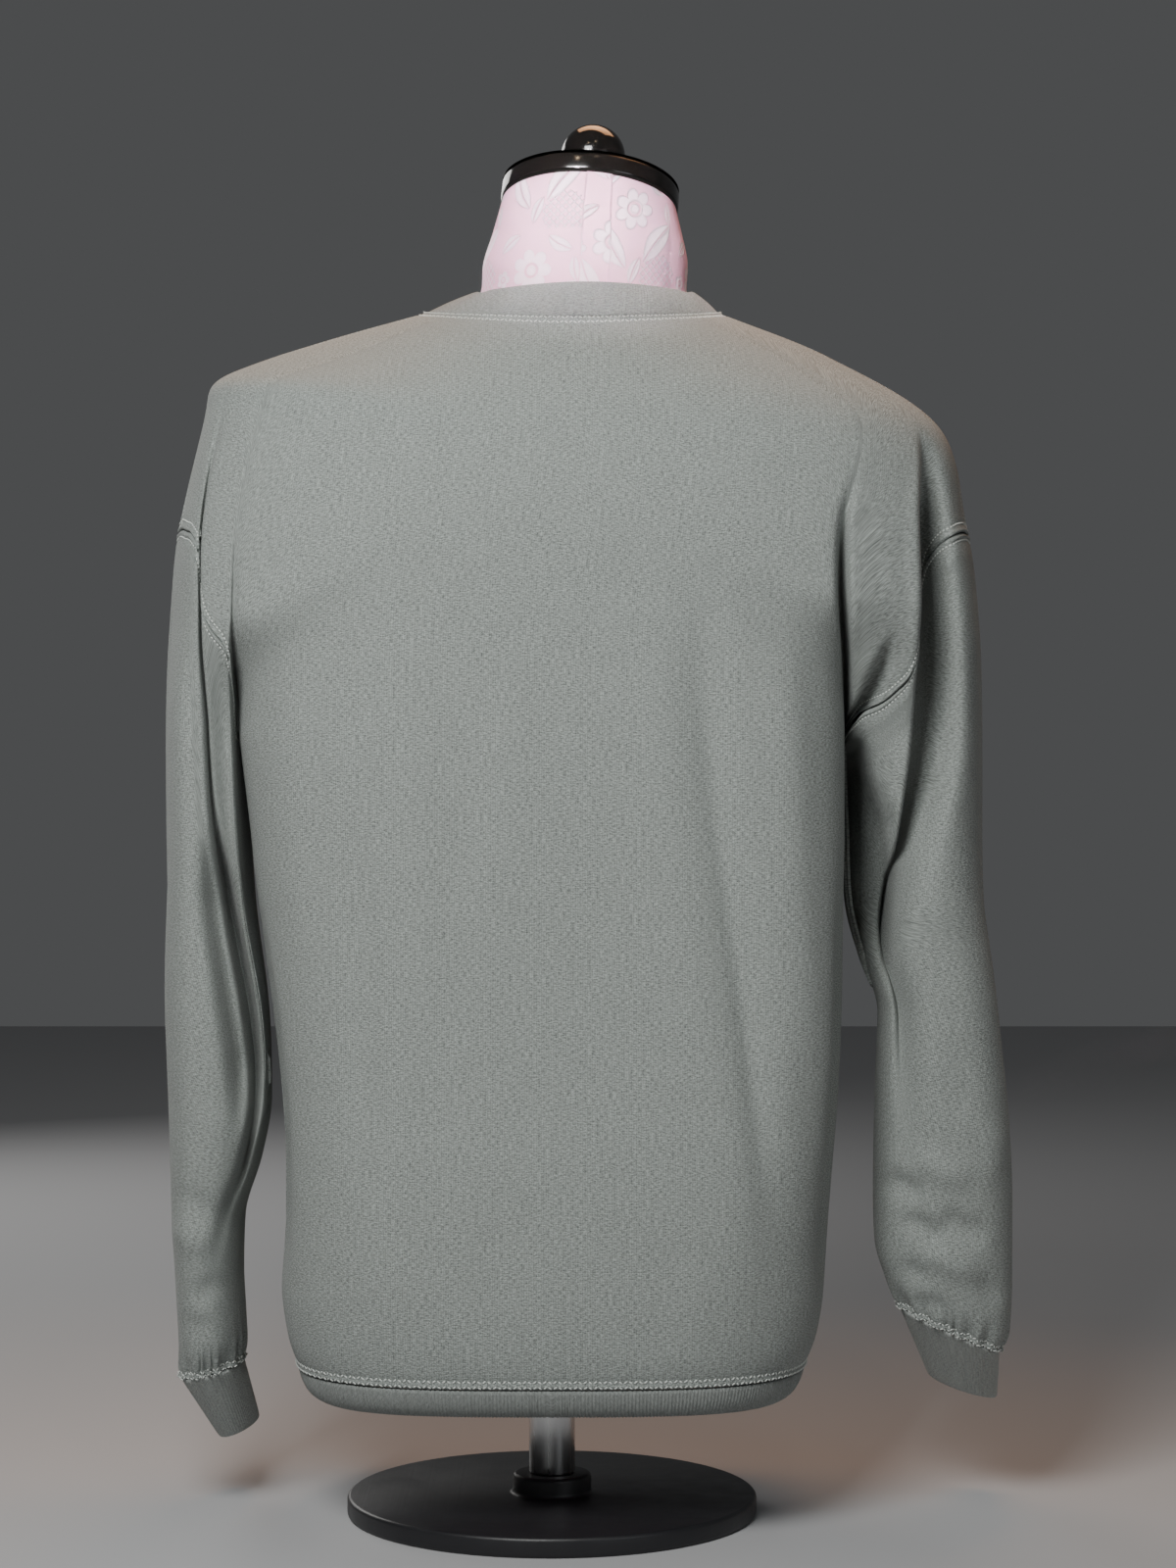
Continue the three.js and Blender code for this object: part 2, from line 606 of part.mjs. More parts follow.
// The step at which the shoulder seam has a height. It is approached in short strides,
// each one as long as the height that is still missing calls for.
const STRIDES = 24;
const RISE_OF_A_STEP = 70; // millimetres, about
function stepAt(side, z) {
  let step = 0;
  for (let i = 0; i < STRIDES; i += 1) {
    step += (z - read(SHOULDER[side], "step", step, "z")) / RISE_OF_A_STEP;
  }
  return step;
}

// A sleeve: it hangs from the armhole seam down to the cuff.
function sleevePiece(side, name) {
  const cuffZ = CUFF[side].z;
  const columnAt = (j) => armColumn(side, side === "right" ? j : ARM_STEPS - j);
  const seamStep = (column) => read(ARMHOLE[side], "column", place(column).c, "step");
  const seamZ = (column) => yokeHeight(column, seamStep(column));
  const surface = (column, z) => {
    const flat = seamZ(column);
    if (z <= UNDERARM_Z || flat <= UNDERARM_Z + 1e-6) return sleeve(column, z);
    return upper(column, THREE.MathUtils.clamp(stepAt(side, z), 0, 3));
  };
  const zAt = (column, r) => {
    const share = (r / SLEEVE_ROWS) ** ROWS_CROWD;
    return cuffZ + (seamZ(column) - cuffZ) * share;
  };
  const closed = (j) => j === 0 || j === ARM_STEPS;
  const point = (j, r) => {
    const column = columnAt(j);
    const p = surface(column, zAt(column, r));
    if (closed(j)) p.x += (side === "right" ? 1 : -1) * SEAM;
    return p;
  };
  const normal = (j, r) => {
    const column = columnAt(j);
    if (closed(j)) return new THREE.Vector3(side === "right" ? -1 : 1, 0, 0);
    return normalOf(surface, column, zAt(column, r));
  };
  return gridWall(SLEEVE_ROWS, ARM_STEPS, true, point, normal, FLEECE, name);
}

// A cuff: a doubled rib tube from its open end up to the sleeve.
function cuffPiece(side, name) {
  const columnAt = (j) => armColumn(side, side === "right" ? j : ARM_STEPS - j);
  const point = (j, r) => cuffPoint(columnAt(j), r / CUFF_ROWS);
  const normal = (j, r) => (r === CUFF_ROWS
    ? normalOf(sleeve, columnAt(j), CUFF[side].z)
    : normalOf(cuffPoint, columnAt(j), r / CUFF_ROWS));
  return gridWall(CUFF_ROWS, ARM_STEPS, true, point, normal, RIB, name);
}

// The waistband: a doubled rib tube from its inner edge out and up to the hem seam.
function waistband(name) {
  const rows = WAISTBAND.length - 1;
  const around = 4 * BODY_COLUMNS;
  const columnAt = (j) => {
    const c = j / BODY_COLUMNS;
    return c <= 2 ? widen(c) : -widen(4 - c);
  };
  const widen = (c) => (c <= 1 ? c : 2 + c);
  const point = (j, r) => bandPoint(columnAt(j), rows - r);
  const normal = (j, r) => (r === rows
    ? normalOf(body, columnAt(j), HEM_Z)
    : normalOf(bandPoint, columnAt(j), rows - r, -1));
  return gridWall(rows, around, true, point, normal, RIB, name);
}

// The neckband: a doubled rib tube from the neck seam to its folded edge.
function neckband(name) {
  const half = BODY_COLUMNS + ARM_COLUMNS;
  const columnAt = (j) => {
    const n = j <= 2 * half ? j : 4 * half - j;
    const c = n <= half ? station(n) : 4 - station(2 * half - n);
    return j <= 2 * half ? c : -c;
  };
  const point = (j, r) => neckPoint(columnAt(j), r / NECKBAND.rows);
  const normal = (j, r) => (r === 0
    ? normalOf(upper, columnAt(j), TOP_STEP)
    : normalOf(neckPoint, columnAt(j), r / NECKBAND.rows));
  return gridWall(NECKBAND.rows, 4 * half, true, point, normal, RIB, name);
}

// A solid body lofted through rings of equal length, with a flat cover at each end.
function loft(rings, colour, roughness, name) {
  const wide = rings[0].length;
  const points = rings.flat();
  const index = [];
  for (let r = 0; r < rings.length - 1; r += 1) {
    for (let c = 0; c < wide; c += 1) {
      const [a, b] = [r * wide + c, r * wide + ((c + 1) % wide)];
      index.push(a, b, b + wide, a, b + wide, a + wide);
    }
  }
  for (const [r, up] of [[0, false], [rings.length - 1, true]]) {
    const centre = new THREE.Vector3();
    rings[r].forEach((p) => centre.addScaledVector(p, 1 / wide));
    points.push(centre);
    for (let c = 0; c < wide; c += 1) {
      const [a, b] = [r * wide + c, r * wide + ((c + 1) % wide)];
      index.push(...(up ? [a, b, points.length - 1] : [b, a, points.length - 1]));
    }
  }
  const geometry = new THREE.BufferGeometry().setFromPoints(points);
  geometry.setIndex(index);
  return named(geometry, colour, roughness, name);
}

// The dress form: pelvis, waist, chest, shoulders that carry the cloth, and neck.
function dressForm(name) {
  const columns = [];
  for (let j = 0; j < 4 * FORM_QUARTER; j += 1) {
    const n = j <= 2 * FORM_QUARTER ? j : 4 * FORM_QUARTER - j;
    columns.push(((j <= 2 * FORM_QUARTER ? 1 : -1) * 2 * n) / FORM_QUARTER);
  }
  const ring = (row, square, zOf) => columns.map((column) => {
    const { side, face, c } = place(column);
    const q = corner(45 * c, square);
    const x = row.shift + side * row.wide * q.across;
    return new THREE.Vector3(x, face * (face < 0 ? row.back : row.front) * q.along, zOf(face, c));
  });
  const inset = ({ step, clear }) => columns.map((column) =>
    upper(column, step).addScaledVector(normalOf(upper, column, step), -CLOTH - clear));
  const torso = (row) => ring(row, FORM_SQUARE, (face, c) =>
    row.z - (face > 0 ? row.drop * smooth(1 - c / FRONT_DIP) : 0));
  const neck = (row) => ring(row, NECK_SQUARE, (face, c) => {
    const middle = face < 0 ? row.backZ : row.frontZ;
    return row.sideZ + (middle - row.sideZ) * corner(45 * c, NECKLINE_SQUARE).along;
  });
  const tilted = columns.map((column) => {
    const { side, face, c } = place(column);
    const turn = (c * Math.PI) / 4;
    const flat = new THREE.Vector3(side * Math.sin(turn), face * Math.cos(turn), 0);
    return flat.multiplyScalar(NECK_TOP.radius).applyEuler(CAP_TILT).add(CAP_FOOT);
  });
  const rings = [...FORM.map(torso), ...FORM_SHOULDERS.map(inset), ...NECK.map(neck), tilted];
  return loft(rings, COVER, 0.6, name);
}

// A turned piece from its profile of [radius, height] pairs, from its foot up.
function turned(profile, colour, roughness, name) {
  const outline = profile.map(([r, h]) => new THREE.Vector2(r, h));
  const geometry = new THREE.LatheGeometry(outline, ROUND);
  geometry.rotateX(Math.PI / 2);
  return named(geometry, colour, roughness, name);
}

const arc = (r, h, radius, from, to, parts) => Array.from({ length: parts + 1 }, (_, i) => {
  const a = THREE.MathUtils.degToRad(from + ((to - from) * i) / parts);
  return [r + radius * Math.cos(a), h + radius * Math.sin(a)];
});

const CAP_TILT = new THREE.Euler(-NECK_TILT_BACK, NECK_TILT_SIDE, 0);
const CAP_FOOT = new THREE.Vector3(NECK_TOP.x, NECK_TOP.y, NECK_TOP.z);

// Puts a turned piece on the neck, at a height along the neck's own leaning axis.
function onNeck(mesh, height) {
  mesh.rotation.copy(CAP_TILT);
  mesh.position.copy(new THREE.Vector3(0, 0, height).applyEuler(CAP_TILT).add(CAP_FOOT));
  return mesh;
}

const neckCap = turned(
  [
    [0, 0],
    ...arc(CAP.radius - CAP.edge, CAP.edge, CAP.edge, -90, 0, 4),
    ...arc(CAP.radius - CAP.edge, CAP.height - CAP.edge, CAP.edge, 0, 90, 4),
    [CAP.flat, CAP.height + CAP.dome],
    [0, CAP.height + CAP.dome],
  ],
  GLOSS_BLACK,
  0.12,
  "neck_cap",
);

// The ball sits on its neck where its radius has come down to that of the neck.
const ballFoot = THREE.MathUtils.radToDeg(Math.acos(FINIAL.neckRadius / FINIAL.radius));
const ballHeight = FINIAL.neckHeight + Math.sqrt(FINIAL.radius ** 2 - FINIAL.neckRadius ** 2);
const finial = turned(
  [
    [0, 0],
    [FINIAL.neckRadius, 0],
    ...arc(0, ballHeight, FINIAL.radius, -ballFoot, 80, 10),
    [0, ballHeight + FINIAL.radius],
  ],
  GLOSS_BLACK,
  0.12,
  "finial",
);

const collarTop = BASE.height + COLLAR.height;
const base = turned(
  [
    [0, 0],
    [BASE.radius - BASE.foot, 0],
    [BASE.radius, BASE.foot],
    ...arc(BASE.radius - BASE.edge, BASE.height - BASE.edge, BASE.edge, 0, 90, 4),
    ...arc(COLLAR.radius + COLLAR.fillet, BASE.height + COLLAR.fillet, COLLAR.fillet, -90, -180, 3),
    ...arc(COLLAR.radius - COLLAR.edge, collarTop - COLLAR.edge, COLLAR.edge, 0, 90, 3),
    [0, collarTop],
  ],
  PAINT,
  0.35,
  "stand_base",
);

const poleFoot = collarTop + TOUCH;
const pole = turned(
  [
    [0, poleFoot],
    [POLE_RADIUS, poleFoot],
    [POLE_RADIUS, FORM[0].z - TOUCH],
    [0, FORM[0].z - TOUCH],
  ],
  STEEL,
  0.25,
  "stand_pole",
);

const garment = new THREE.Group();
garment.add(panel(-1, "back_panel"));
garment.add(panel(1, "front_panel"));
garment.add(sleevePiece("left", "sleeve_left"));
garment.add(sleevePiece("right", "sleeve_right"));
garment.add(cuffPiece("left", "cuff_left"));
garment.add(cuffPiece("right", "cuff_right"));
garment.add(waistband("waistband_rib"));
garment.add(neckband("collar_rib"));

const stand = new THREE.Group();
stand.add(dressForm("form_torso"));
stand.add(onNeck(neckCap, TOUCH));
stand.add(onNeck(finial, CAP.height + CAP.dome + 2 * TOUCH));
stand.add(pole);
stand.add(base);

const part = new THREE.Group();
part.add(garment, stand);

export default part;
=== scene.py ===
# %% [markdown]
# A crewneck sweatshirt hangs on a limbless dress form and is seen from behind. The packed
# CAD part is the frame: every piece below is made in metres in its coordinates and takes
# the place of its plain solid. +Z is up, +X is the wearer's right and +Y is the way the
# wearer would face, so the back of the garment is on the -Y side, towards the camera.

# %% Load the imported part
import math

import bpy
import numpy as np
from mathutils import Euler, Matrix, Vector


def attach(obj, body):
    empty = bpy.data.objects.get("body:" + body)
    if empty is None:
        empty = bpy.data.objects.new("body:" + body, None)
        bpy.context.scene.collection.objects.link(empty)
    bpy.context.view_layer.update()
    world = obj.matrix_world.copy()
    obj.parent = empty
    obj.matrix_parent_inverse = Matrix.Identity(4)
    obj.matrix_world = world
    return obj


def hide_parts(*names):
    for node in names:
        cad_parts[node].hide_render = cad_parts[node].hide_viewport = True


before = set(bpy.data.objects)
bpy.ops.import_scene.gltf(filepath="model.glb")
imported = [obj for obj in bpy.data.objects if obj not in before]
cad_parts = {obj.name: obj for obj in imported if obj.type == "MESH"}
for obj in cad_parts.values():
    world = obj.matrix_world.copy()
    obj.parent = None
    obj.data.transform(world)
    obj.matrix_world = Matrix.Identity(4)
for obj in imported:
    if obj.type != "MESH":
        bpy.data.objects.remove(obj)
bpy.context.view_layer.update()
MM = 0.001

# %% [markdown]
# The camera comes first, because sizes are judged through it. It stands two metres behind
# the middle of the form, level, at the height of the garment's middle, so that nothing is
# looked at from above. The lens is set from the sensor and the size of the garment.

# %% Camera
MIDDLE_X, DISTANCE, EYE_HEIGHT = 0.022, 2.0, 0.445
bpy.ops.object.select_all(action="DESELECT")
bpy.ops.object.camera_add(location=(MIDDLE_X, -DISTANCE, EYE_HEIGHT),
                          rotation=(math.radians(90), 0, 0))
camera = bpy.context.object
camera.data.sensor_width = 36
camera.data.lens = 75
camera.data.clip_start = 0.05
bpy.context.scene.camera = camera
print("camera lens", camera.data.lens, "mm,", DISTANCE, "metres away")

# %% [markdown]
# Cloth takes its shape from what carries it. Here each cut piece follows one smooth
# surface, the drape, and a place on it is given by a column and a step. Columns run round
# the body: 0 is the middle of the back, 1 the fold between body and sleeve, 2 the shoulder
# seam and the outside of the sleeve, 3 the fold at the front and 4 the middle of the
# front, positive on the right and negative on the left. Steps run up from the underarm
# (step 0) to the neck seam (step 5). The sizes are short tables, in millimetres.

# %% Short tables and how they are read
def chart(names, *rows):
    """A table with named columns."""
    return dict(zip(names.split(), np.array(rows, float).T))


def curve(a, b, slope_a, slope_b, u):
    """A smooth curve from a to b with a slope at either end, for u from 0 to 1."""
    return (a * (2 * u**3 - 3 * u**2 + 1) + b * (3 * u**2 - 2 * u**3)
            + slope_a * (u**3 - 2 * u**2 + u) + slope_b * (u**3 - u**2))


def read(table, at, name):
    """One column of a table at places along its first one, without overshoot."""
    k, v = next(iter(table.values())), table[name]
    at = np.asarray(at, float)
    i = np.minimum(np.searchsorted(k[1:], at), len(k) - 2)
    before, after = np.maximum(i - 1, 0), np.minimum(i + 2, len(k) - 1)
    span, rise = k[i + 1] - k[i], v[i + 1] - v[i]
    u = np.clip((at - k[i]) / span, 0, 1)

    def slope(a, b):
        s = (v[b] - v[a]) / np.maximum(k[b] - k[a], 1e-6) * span
        return np.clip(s, np.minimum(0, 3 * rise), np.maximum(0, 3 * rise))

    return curve(v[i], v[i + 1], slope(before, i + 1), slope(i, after), u)


def sided(tables, at, name, side):
    """The same for a table that differs between left (-1) and right (1)."""
    return np.where(side < 0, read(tables["left"], at, name), read(tables["right"], at, name))


def smooth(u):
    u = np.clip(u, 0, 1)
    return u * u * (3 - 2 * u)


def bump(distance, width):
    return np.exp(-((distance / width) ** 2))


def mix(a, b, share):
    return a + (b - a) * share


def unit(v):
    return v / np.maximum(np.linalg.norm(v, axis=-1, keepdims=True), 1e-12)


def running(steps):
    """Running sums, from 0."""
    return np.concatenate([[0], np.cumsum(steps)])


def crowded(at, weight, count=None):
    """Places along `at` that lie closer together where the weight is high. Without a count,
    they are as many as the weight says for each unit of length."""
    total = running((weight[1:] + weight[:-1]) / 2 * np.diff(at))
    return np.interp(np.linspace(0, total[-1], count or int(round(total[-1])) + 1), total, at)


# %% [markdown]
# A sweatshirt of this kind is cut nearly as wide as it is long. It hangs straight down from
# the chest, and its shoulders drop well past the wearer's own. The tables give the body's
# half width and depth by height, the middle lines and the shoulder seam by step, and the
# armhole seam by column. Left and right differ, because the cloth doesn't hang evenly.

# %% The body, the middle and the shoulders
UNDERARM_Z = 472
HEM_Z = 97
BODY = chart("z left right back front",
             (97, 153, 153, 127, 132), (115, 159, 160, 131, 138), (145, 163, 165, 132, 142),
             (220, 163, 171, 127, 143), (265, 166, 174, 122, 142), (325, 173, 176, 118, 142),
             (415, 182, 176, 116, 140), (472, 189, 176, 116, 136))
MIDDLE = chart("step backZ back frontZ front shift square",
               (0, 472, 116, 472, 136, 0, 3.0), (1, 540, 118, 515, 134, 3, 2.9),
               (2, 600, 117, 556, 128, 8, 2.7), (3, 655, 108, 592, 118, 14, 2.4),
               (4, 694, 93, 624, 106, 14, 2.15), (5, 721, 75, 650, 91, 12.5, 2.0))
SHOULDER = {
    "right": chart("step z reach fold crease",
                   (0, 472, 265, 33, 48), (1, 540, 263, 32.3, 49.5), (2, 600, 256, 34.8, 53),
                   (3, 661, 237, 45, 63), (4, 704, 172, 50, 70), (5, 733, 101, 55, 73)),
    "left": chart("step z reach fold crease",
                  (0, 472, 238, 46, 56), (1, 540, 235, 46, 57), (2, 602, 230, 48, 61),
                  (2.7, 669, 213, 50, 65), (3, 688, 207, 50, 68), (3.3, 699, 188, 51, 69),
                  (4, 715, 140, 52, 71), (5, 733, 76, 55, 73)),
}
ARMHOLE = {
    "right": chart("column step", (1, 0), (1.2, 0.2), (1.43, 0.45), (1.5, 1.05),
                   (1.57, 1.65), (1.75, 1.88), (2, 1.97)),
    "left": chart("column step", (1, 0), (1.05, 0.5), (1.12, 0.66), (1.2, 0.76), (1.43, 1.02),
                  (1.5, 1.4), (1.55, 1.8), (1.75, 1.92), (2, 1.97)),
}

# %% [markdown]
# No arm fills the sleeves, so they hang flat, fold along their length and narrow to the
# cuffs. Heavy fleece also stands in a few broad drapes below the shoulders. The rib bands
# are cut shorter than the edges they are sewn to, so each one draws its edge in.

# %% The hanging sleeves and the vertical drapes
SLEEVE = {
    "right": chart("z inner outer back front crease depth",
                   (112, 213, 273, 29, 37, 1.5, 0), (127, 204, 279, 37, 45, 1.5, 0),
                   (150, 198, 281, 42, 52, 1.45, 0), (198, 197, 281, 48, 58, 1.38, 0.03),
                   (250, 198, 278, 52, 62, 1.3, 0.1), (307, 200, 272, 56, 68, 1.25, 0.3),
                   (340, 190, 269, 58, 72, 1.27, 0.36), (373, 182, 266, 60, 76, 1.35, 0.38),
                   (415, 180, 265, 62, 82, 1.41, 0.38), (472, 178, 265, 66, 88, 1.47, 0.38),
                   (545, 178, 263, 70, 92, 1.48, 0.36), (661, 178, 250, 74, 92, 1.48, 0.28)),
    "left": chart("z inner outer back front crease depth",
                  (88, 190, 226, 34, 42, 1.5, 0), (105, 188, 227, 43, 50, 1.5, 0),
                  (145, 190, 229, 52, 60, 1.42, 0), (182, 189, 231, 58, 68, 1.29, 0.08),
                  (215, 179, 232, 62, 74, 1.25, 0.25), (250, 173, 233, 66, 80, 1.27, 0.32),
                  (307, 175, 235, 70, 88, 1.32, 0.34), (377, 184, 237, 72, 94, 1.37, 0.34),
                  (472, 189, 238, 74, 98, 1.4, 0.34), (545, 189, 236, 76, 98, 1.41, 0.32),
                  (661, 189, 226, 78, 96, 1.45, 0.24)),
}
DRAPES = chart("column move width low high",
               (0.82, -7, 0.1, 130, 420), (3.3, -12, 0.14, 120, 500),
               (3.62, 7, 0.12, 110, 560), (-0.86, -8, 0.1, 140, 400),
               (-3.28, -12, 0.13, 120, 500), (-3.58, 8, 0.13, 110, 570),
               (0.3, 2.5, 0.14, 110, 600), (-0.28, 3, 0.13, 110, 580))
CUFF = {
    "right": dict(z=112, x=243, slope=-0.45, end=(256, 42, 70), across=21, along=30, lean=-0.3),
    "left": dict(z=88, x=208, slope=-0.25, end=(196, 41, 45), across=12, along=33, lean=-0.35),
}
WAISTBAND = chart("down inward z", (0, 0.3, 96.4), (1, 2.5, 89), (2, 7, 82.5), (3, 15, 79),
                  (4, 28, 79), (5, 42, 82))
NECKBAND = dict(rise=(22, 13, 13), tuck=(13, 22.5, 21), shift=7.5, belly=1.6)

# %% [markdown]
# A dropped shoulder lies across body and sleeve alike, so above the underarm both are one
# surface, and below it they part. One function of column and step gives the whole and
# blends the two, so pieces that are cut out of it meet exactly at their seams.

# %% The drape as one surface
def place(column):
    """Side (-1 left), face (-1 back) and the place from 0 to 2 of a column."""
    c = np.abs(column)
    return np.where(column < 0, -1, 1), np.where(c > 2, 1, -1), np.where(c > 2, 4 - c, c)


def wrapped(column):
    """A column past the middle of the front, counted from the other side."""
    return np.where(column > 4, column - 8, np.where(column < -4, column + 8, column))


def corner(degrees, square):
    """Shares of width and depth round a quarter of a rounded rectangle."""
    a = np.radians(np.clip(degrees, 0, 90))
    return np.sin(a) ** (2 / square), np.maximum(np.cos(a), 0) ** (2 / square)


def through(first, middle, last, c):
    """A smooth run through three values, at the places 1, 1.5 and 2."""
    u = c - 1
    return (first + (4 * middle - 3 * first - last) * u
            + (2 * first + 2 * last - 4 * middle) * u * u)


def push(p, column, z):
    """Moves the body's cloth out and in along its vertical drapes."""
    moved = 0
    for col, move, width, low, high in zip(*DRAPES.values()):
        fade = smooth((z - low) / 60) * smooth((high - z) / 120)
        moved = moved + move * fade * bump(column - col, width)
    reach = np.hypot(p[..., 0], p[..., 1])
    out = p.copy()
    out[..., 0] += p[..., 0] * moved / reach
    out[..., 1] += p[..., 1] * moved / reach
    return out


def body_ring(column, z):
    side, face, c = place(column)
    reach = np.where(side < 0, read(BODY, z, "left"), read(BODY, z, "right"))
    depth = np.where(face < 0, read(BODY, z, "back"), read(BODY, z, "front"))
    square = np.where(side > 0, 3.2 + 1.3 * smooth((z - 150) / 150), 3.2)
    across, along = corner(90 * np.minimum(c, 1), np.where(face < 0, square, 2.8))
    return np.stack([side * reach * across, face * depth * along, z + 0 * c], -1)


def body(column, z):
    return push(body_ring(column, z), column, z)


# How round the sleeve's inner corner is at the back: a small number is square, so that the
# flap lies flat right up to the body, and 0.85 is round.
INNER_CORNER = {
    "right": chart("z round", (112, 0.85), (300, 0.85), (350, 1.1), (440, 1.35), (462, 1.1),
                   (480, 0.45), (520, 0.22), (661, 0.22)),
    "left": chart("z round", (88, 0.85), (250, 0.6), (330, 0.32), (430, 0.14), (661, 0.16)),
}


def sleeve_ring(column, z):
    side, face, c = place(column)
    inner, outer = (sided(SLEEVE, z, n, side) for n in ("inner", "outer"))
    depth = np.where(face < 0, sided(SLEEVE, z, "back", side),
                     sided(SLEEVE, z, "front", side))
    turn = through(0, sided(SLEEVE, z, "crease", side) - 1, 1, c) * np.pi
    square = mix(sided(INNER_CORNER, z, "round", side), 0.85, smooth((c - 1.12) / 0.4))
    power = np.where(face < 0, square, 0.85)

    def rounded(v, e):
        return np.sign(v) * np.abs(v) ** e

    x = (inner + outer) / 2 - (outer - inner) / 2 * rounded(np.cos(turn), 0.85)
    return np.stack([side * x, face * depth * rounded(np.sin(turn), power), z + 0 * c], -1)


# %% [markdown]
# An empty sleeve that hangs from a dropped shoulder folds along its length. One flap stands
# proud with a crisp edge that hangs a little over the groove, and behind it the cloth turns
# sharply in and comes out again more gently. On the right the flap next to the body is the
# proud one, on the left the outer one is.

# %% Creases of the arm
GROOVE = {  # widths in columns towards the body and away from it, lip in millimetres
    "right": chart("z inside outside lip deep",
                   (112, 0.1, 0.1, 0, 1), (200, 0.08, 0.1, 0, 1), (300, 0.05, 0.07, 1, 1),
                   (350, 0.035, 0.07, 2, 1.1), (420, 0.026, 0.1, 3, 1.35),
                   (470, 0.024, 0.15, 3.5, 1.55), (560, 0.024, 0.17, 4, 1.7),
                   (620, 0.03, 0.15, 3, 1.5), (661, 0.05, 0.12, 1, 1.1)),
    "left": chart("z inside outside lip deep",
                  (88, 0.1, 0.1, 0, 1), (190, 0.07, 0.06, 0, 1.1), (215, 0.07, 0.035, -2, 1.5),
                  (250, 0.12, 0.026, -3, 1.8), (310, 0.2, 0.024, -3.5, 1.9),
                  (380, 0.12, 0.022, -3, 1.5), (440, 0.035, 0.022, -2, 0.8),
                  (560, 0.022, 0.02, -1.6, 0.5), (620, 0.024, 0.024, -1, 0.45),
                  (661, 0.05, 0.05, 0, 0.4)),
}


def arm_crease(column, z):
    side, face, c = place(column)
    back = face < 0
    depth = sided(SLEEVE, z, "depth", side)
    depth = depth * np.where(back, sided(GROOVE, z, "deep", side), 0.7)
    inside = np.where(back, sided(GROOVE, z, "inside", side), 0.085)
    outside = np.where(back, sided(GROOVE, z, "outside", side), 0.085)
    return np.minimum(depth, 0.85) * bump(c - 1.5, np.where(c < 1.5, inside, outside))


def groove_lip(column, z, strength):
    """How far the proud flap's edge hangs over the groove, in x, and stands out, in y."""
    side, face, c = place(column)
    lip = sided(GROOVE, z, "lip", side)
    at = 1.5 - 0.035 * np.sign(lip)
    near = bump(c - at, 0.035) * np.where(face < 0, strength, 0)
    return side * lip * near, 0.5 * np.abs(lip) * near


def swing(p, column, strength):
    """Turns the sleeve's outermost line a little to the front, so that the shoulder seam is
    seen from behind."""
    side, c = place(column)[::2]
    near = smooth((c - 1.45) / 0.4) * strength
    p[..., 0] += side * near * 6.5 * (bump(p[..., 1] - 24, 26) - 0.8)
    return p


def yoke_angle(column, step):
    side, c = place(column)[::2]
    fold = sided(SHOULDER, step, "fold", side)
    crease = sided(SHOULDER, step, "crease", side)
    return np.where(c <= 1, c * fold, through(fold, crease, 90, c))


def yoke_height(column, step):
    side, face, c = place(column)
    edge = sided(SHOULDER, step, "z", side)
    centre = np.where(face < 0, read(MIDDLE, step, "backZ"), read(MIDDLE, step, "frontZ"))
    rounded = corner(yoke_angle(column, step), 1.7)[1]
    share = mix(smooth(1 - np.minimum(c, 1)), rounded, smooth((step - 2.2) / 2))
    return edge + (centre - edge) * share


PARTED_UP_TO = 2.3  # the step at which body and sleeve are one; sooner at the back's fold


def upper(column, step):
    """The drape above the underarm, where body and sleeves hang as one and then part."""
    side, face, c = place(column)
    shift = read(MIDDLE, step, "shift")
    depth = np.where(face < 0, read(MIDDLE, step, "back"), read(MIDDLE, step, "front"))
    across, along = corner(yoke_angle(column, step), read(MIDDLE, step, "square"))
    reach = sided(SHOULDER, step, "reach", side) - side * shift
    z = yoke_height(column, step)
    whole = np.stack([shift + side * reach * across, face * depth * along, z], -1)
    parted = np.where((c <= 1)[..., None], body_ring(column, z), sleeve_ring(column, z))
    parted[..., 2] = z
    soon = mix(PARTED_UP_TO, np.where(side < 0, 1.1, 1.3), smooth(c / 0.9))
    reach_up = np.where(face < 0, soon, PARTED_UP_TO)
    p = mix(parted, whole, (smooth(step / reach_up) ** 1.1)[..., None])
    fold = np.where(side < 0, 0.04, 0.34) * smooth(step / 0.8) * smooth((2.5 - step) / 1.6)
    fold_width = np.where(face < 0, np.where(c < 1, 0.03, 0.045), 0.12)
    fold = fold * bump(c - 1, fold_width)
    fade = smooth((3.05 - step) / 1.1)
    hollow = np.where(c > 1, arm_crease(column, z) * fade, 0)
    p[..., 1] *= (1 - fold) * (1 - hollow)
    over, proud = groove_lip(column, z, np.where(c > 1, fade, 0))
    p[..., 0] += over
    p[..., 1] -= proud
    p = swing(p, column, smooth((3.2 - step) / 1.2))
    return np.where((c <= 1)[..., None], push(p, column, z), p)


SLOPED = 100  # how far above the cuff the sleeve's rings begin to slope


def sleeve_low(column, z):
    """The sleeve below the underarm. Near the cuff its rings slope with the cuff's seam."""
    side = place(column)[0]
    p = sleeve_ring(column, z)
    p[..., 1] *= 1 - arm_crease(column, z)
    over, proud = groove_lip(column, z, smooth((z - 200) / 60))
    p[..., 0] += over
    p[..., 1] -= proud
    p = swing(p, column, smooth((z - 300) / 120))
    for s, way in ((-1, "left"), (1, "right")):
        cuff = CUFF[way]
        near = smooth((cuff["z"] + SLOPED - z) / SLOPED)
        drop = near * cuff["slope"] * (np.abs(p[..., 0]) - cuff["x"])
        p[..., 2] += np.where(side == s, drop, 0)
    return p


# %% [markdown]
# A piece of cloth starts as a flat grid, as it is cut from the roll, and each of its
# vertices is then laid on the drape. A tube such as a sleeve is the same grid with its two
# long edges sewn together. The wall gets its thickness from Solidify. The UV map holds
# lengths along the cloth in metres, so the knit runs true to size and follows the folds.

# %% Grids that become cloth
WALL = 1.8


def mode(name):
    bpy.ops.object.mode_set(mode=name)


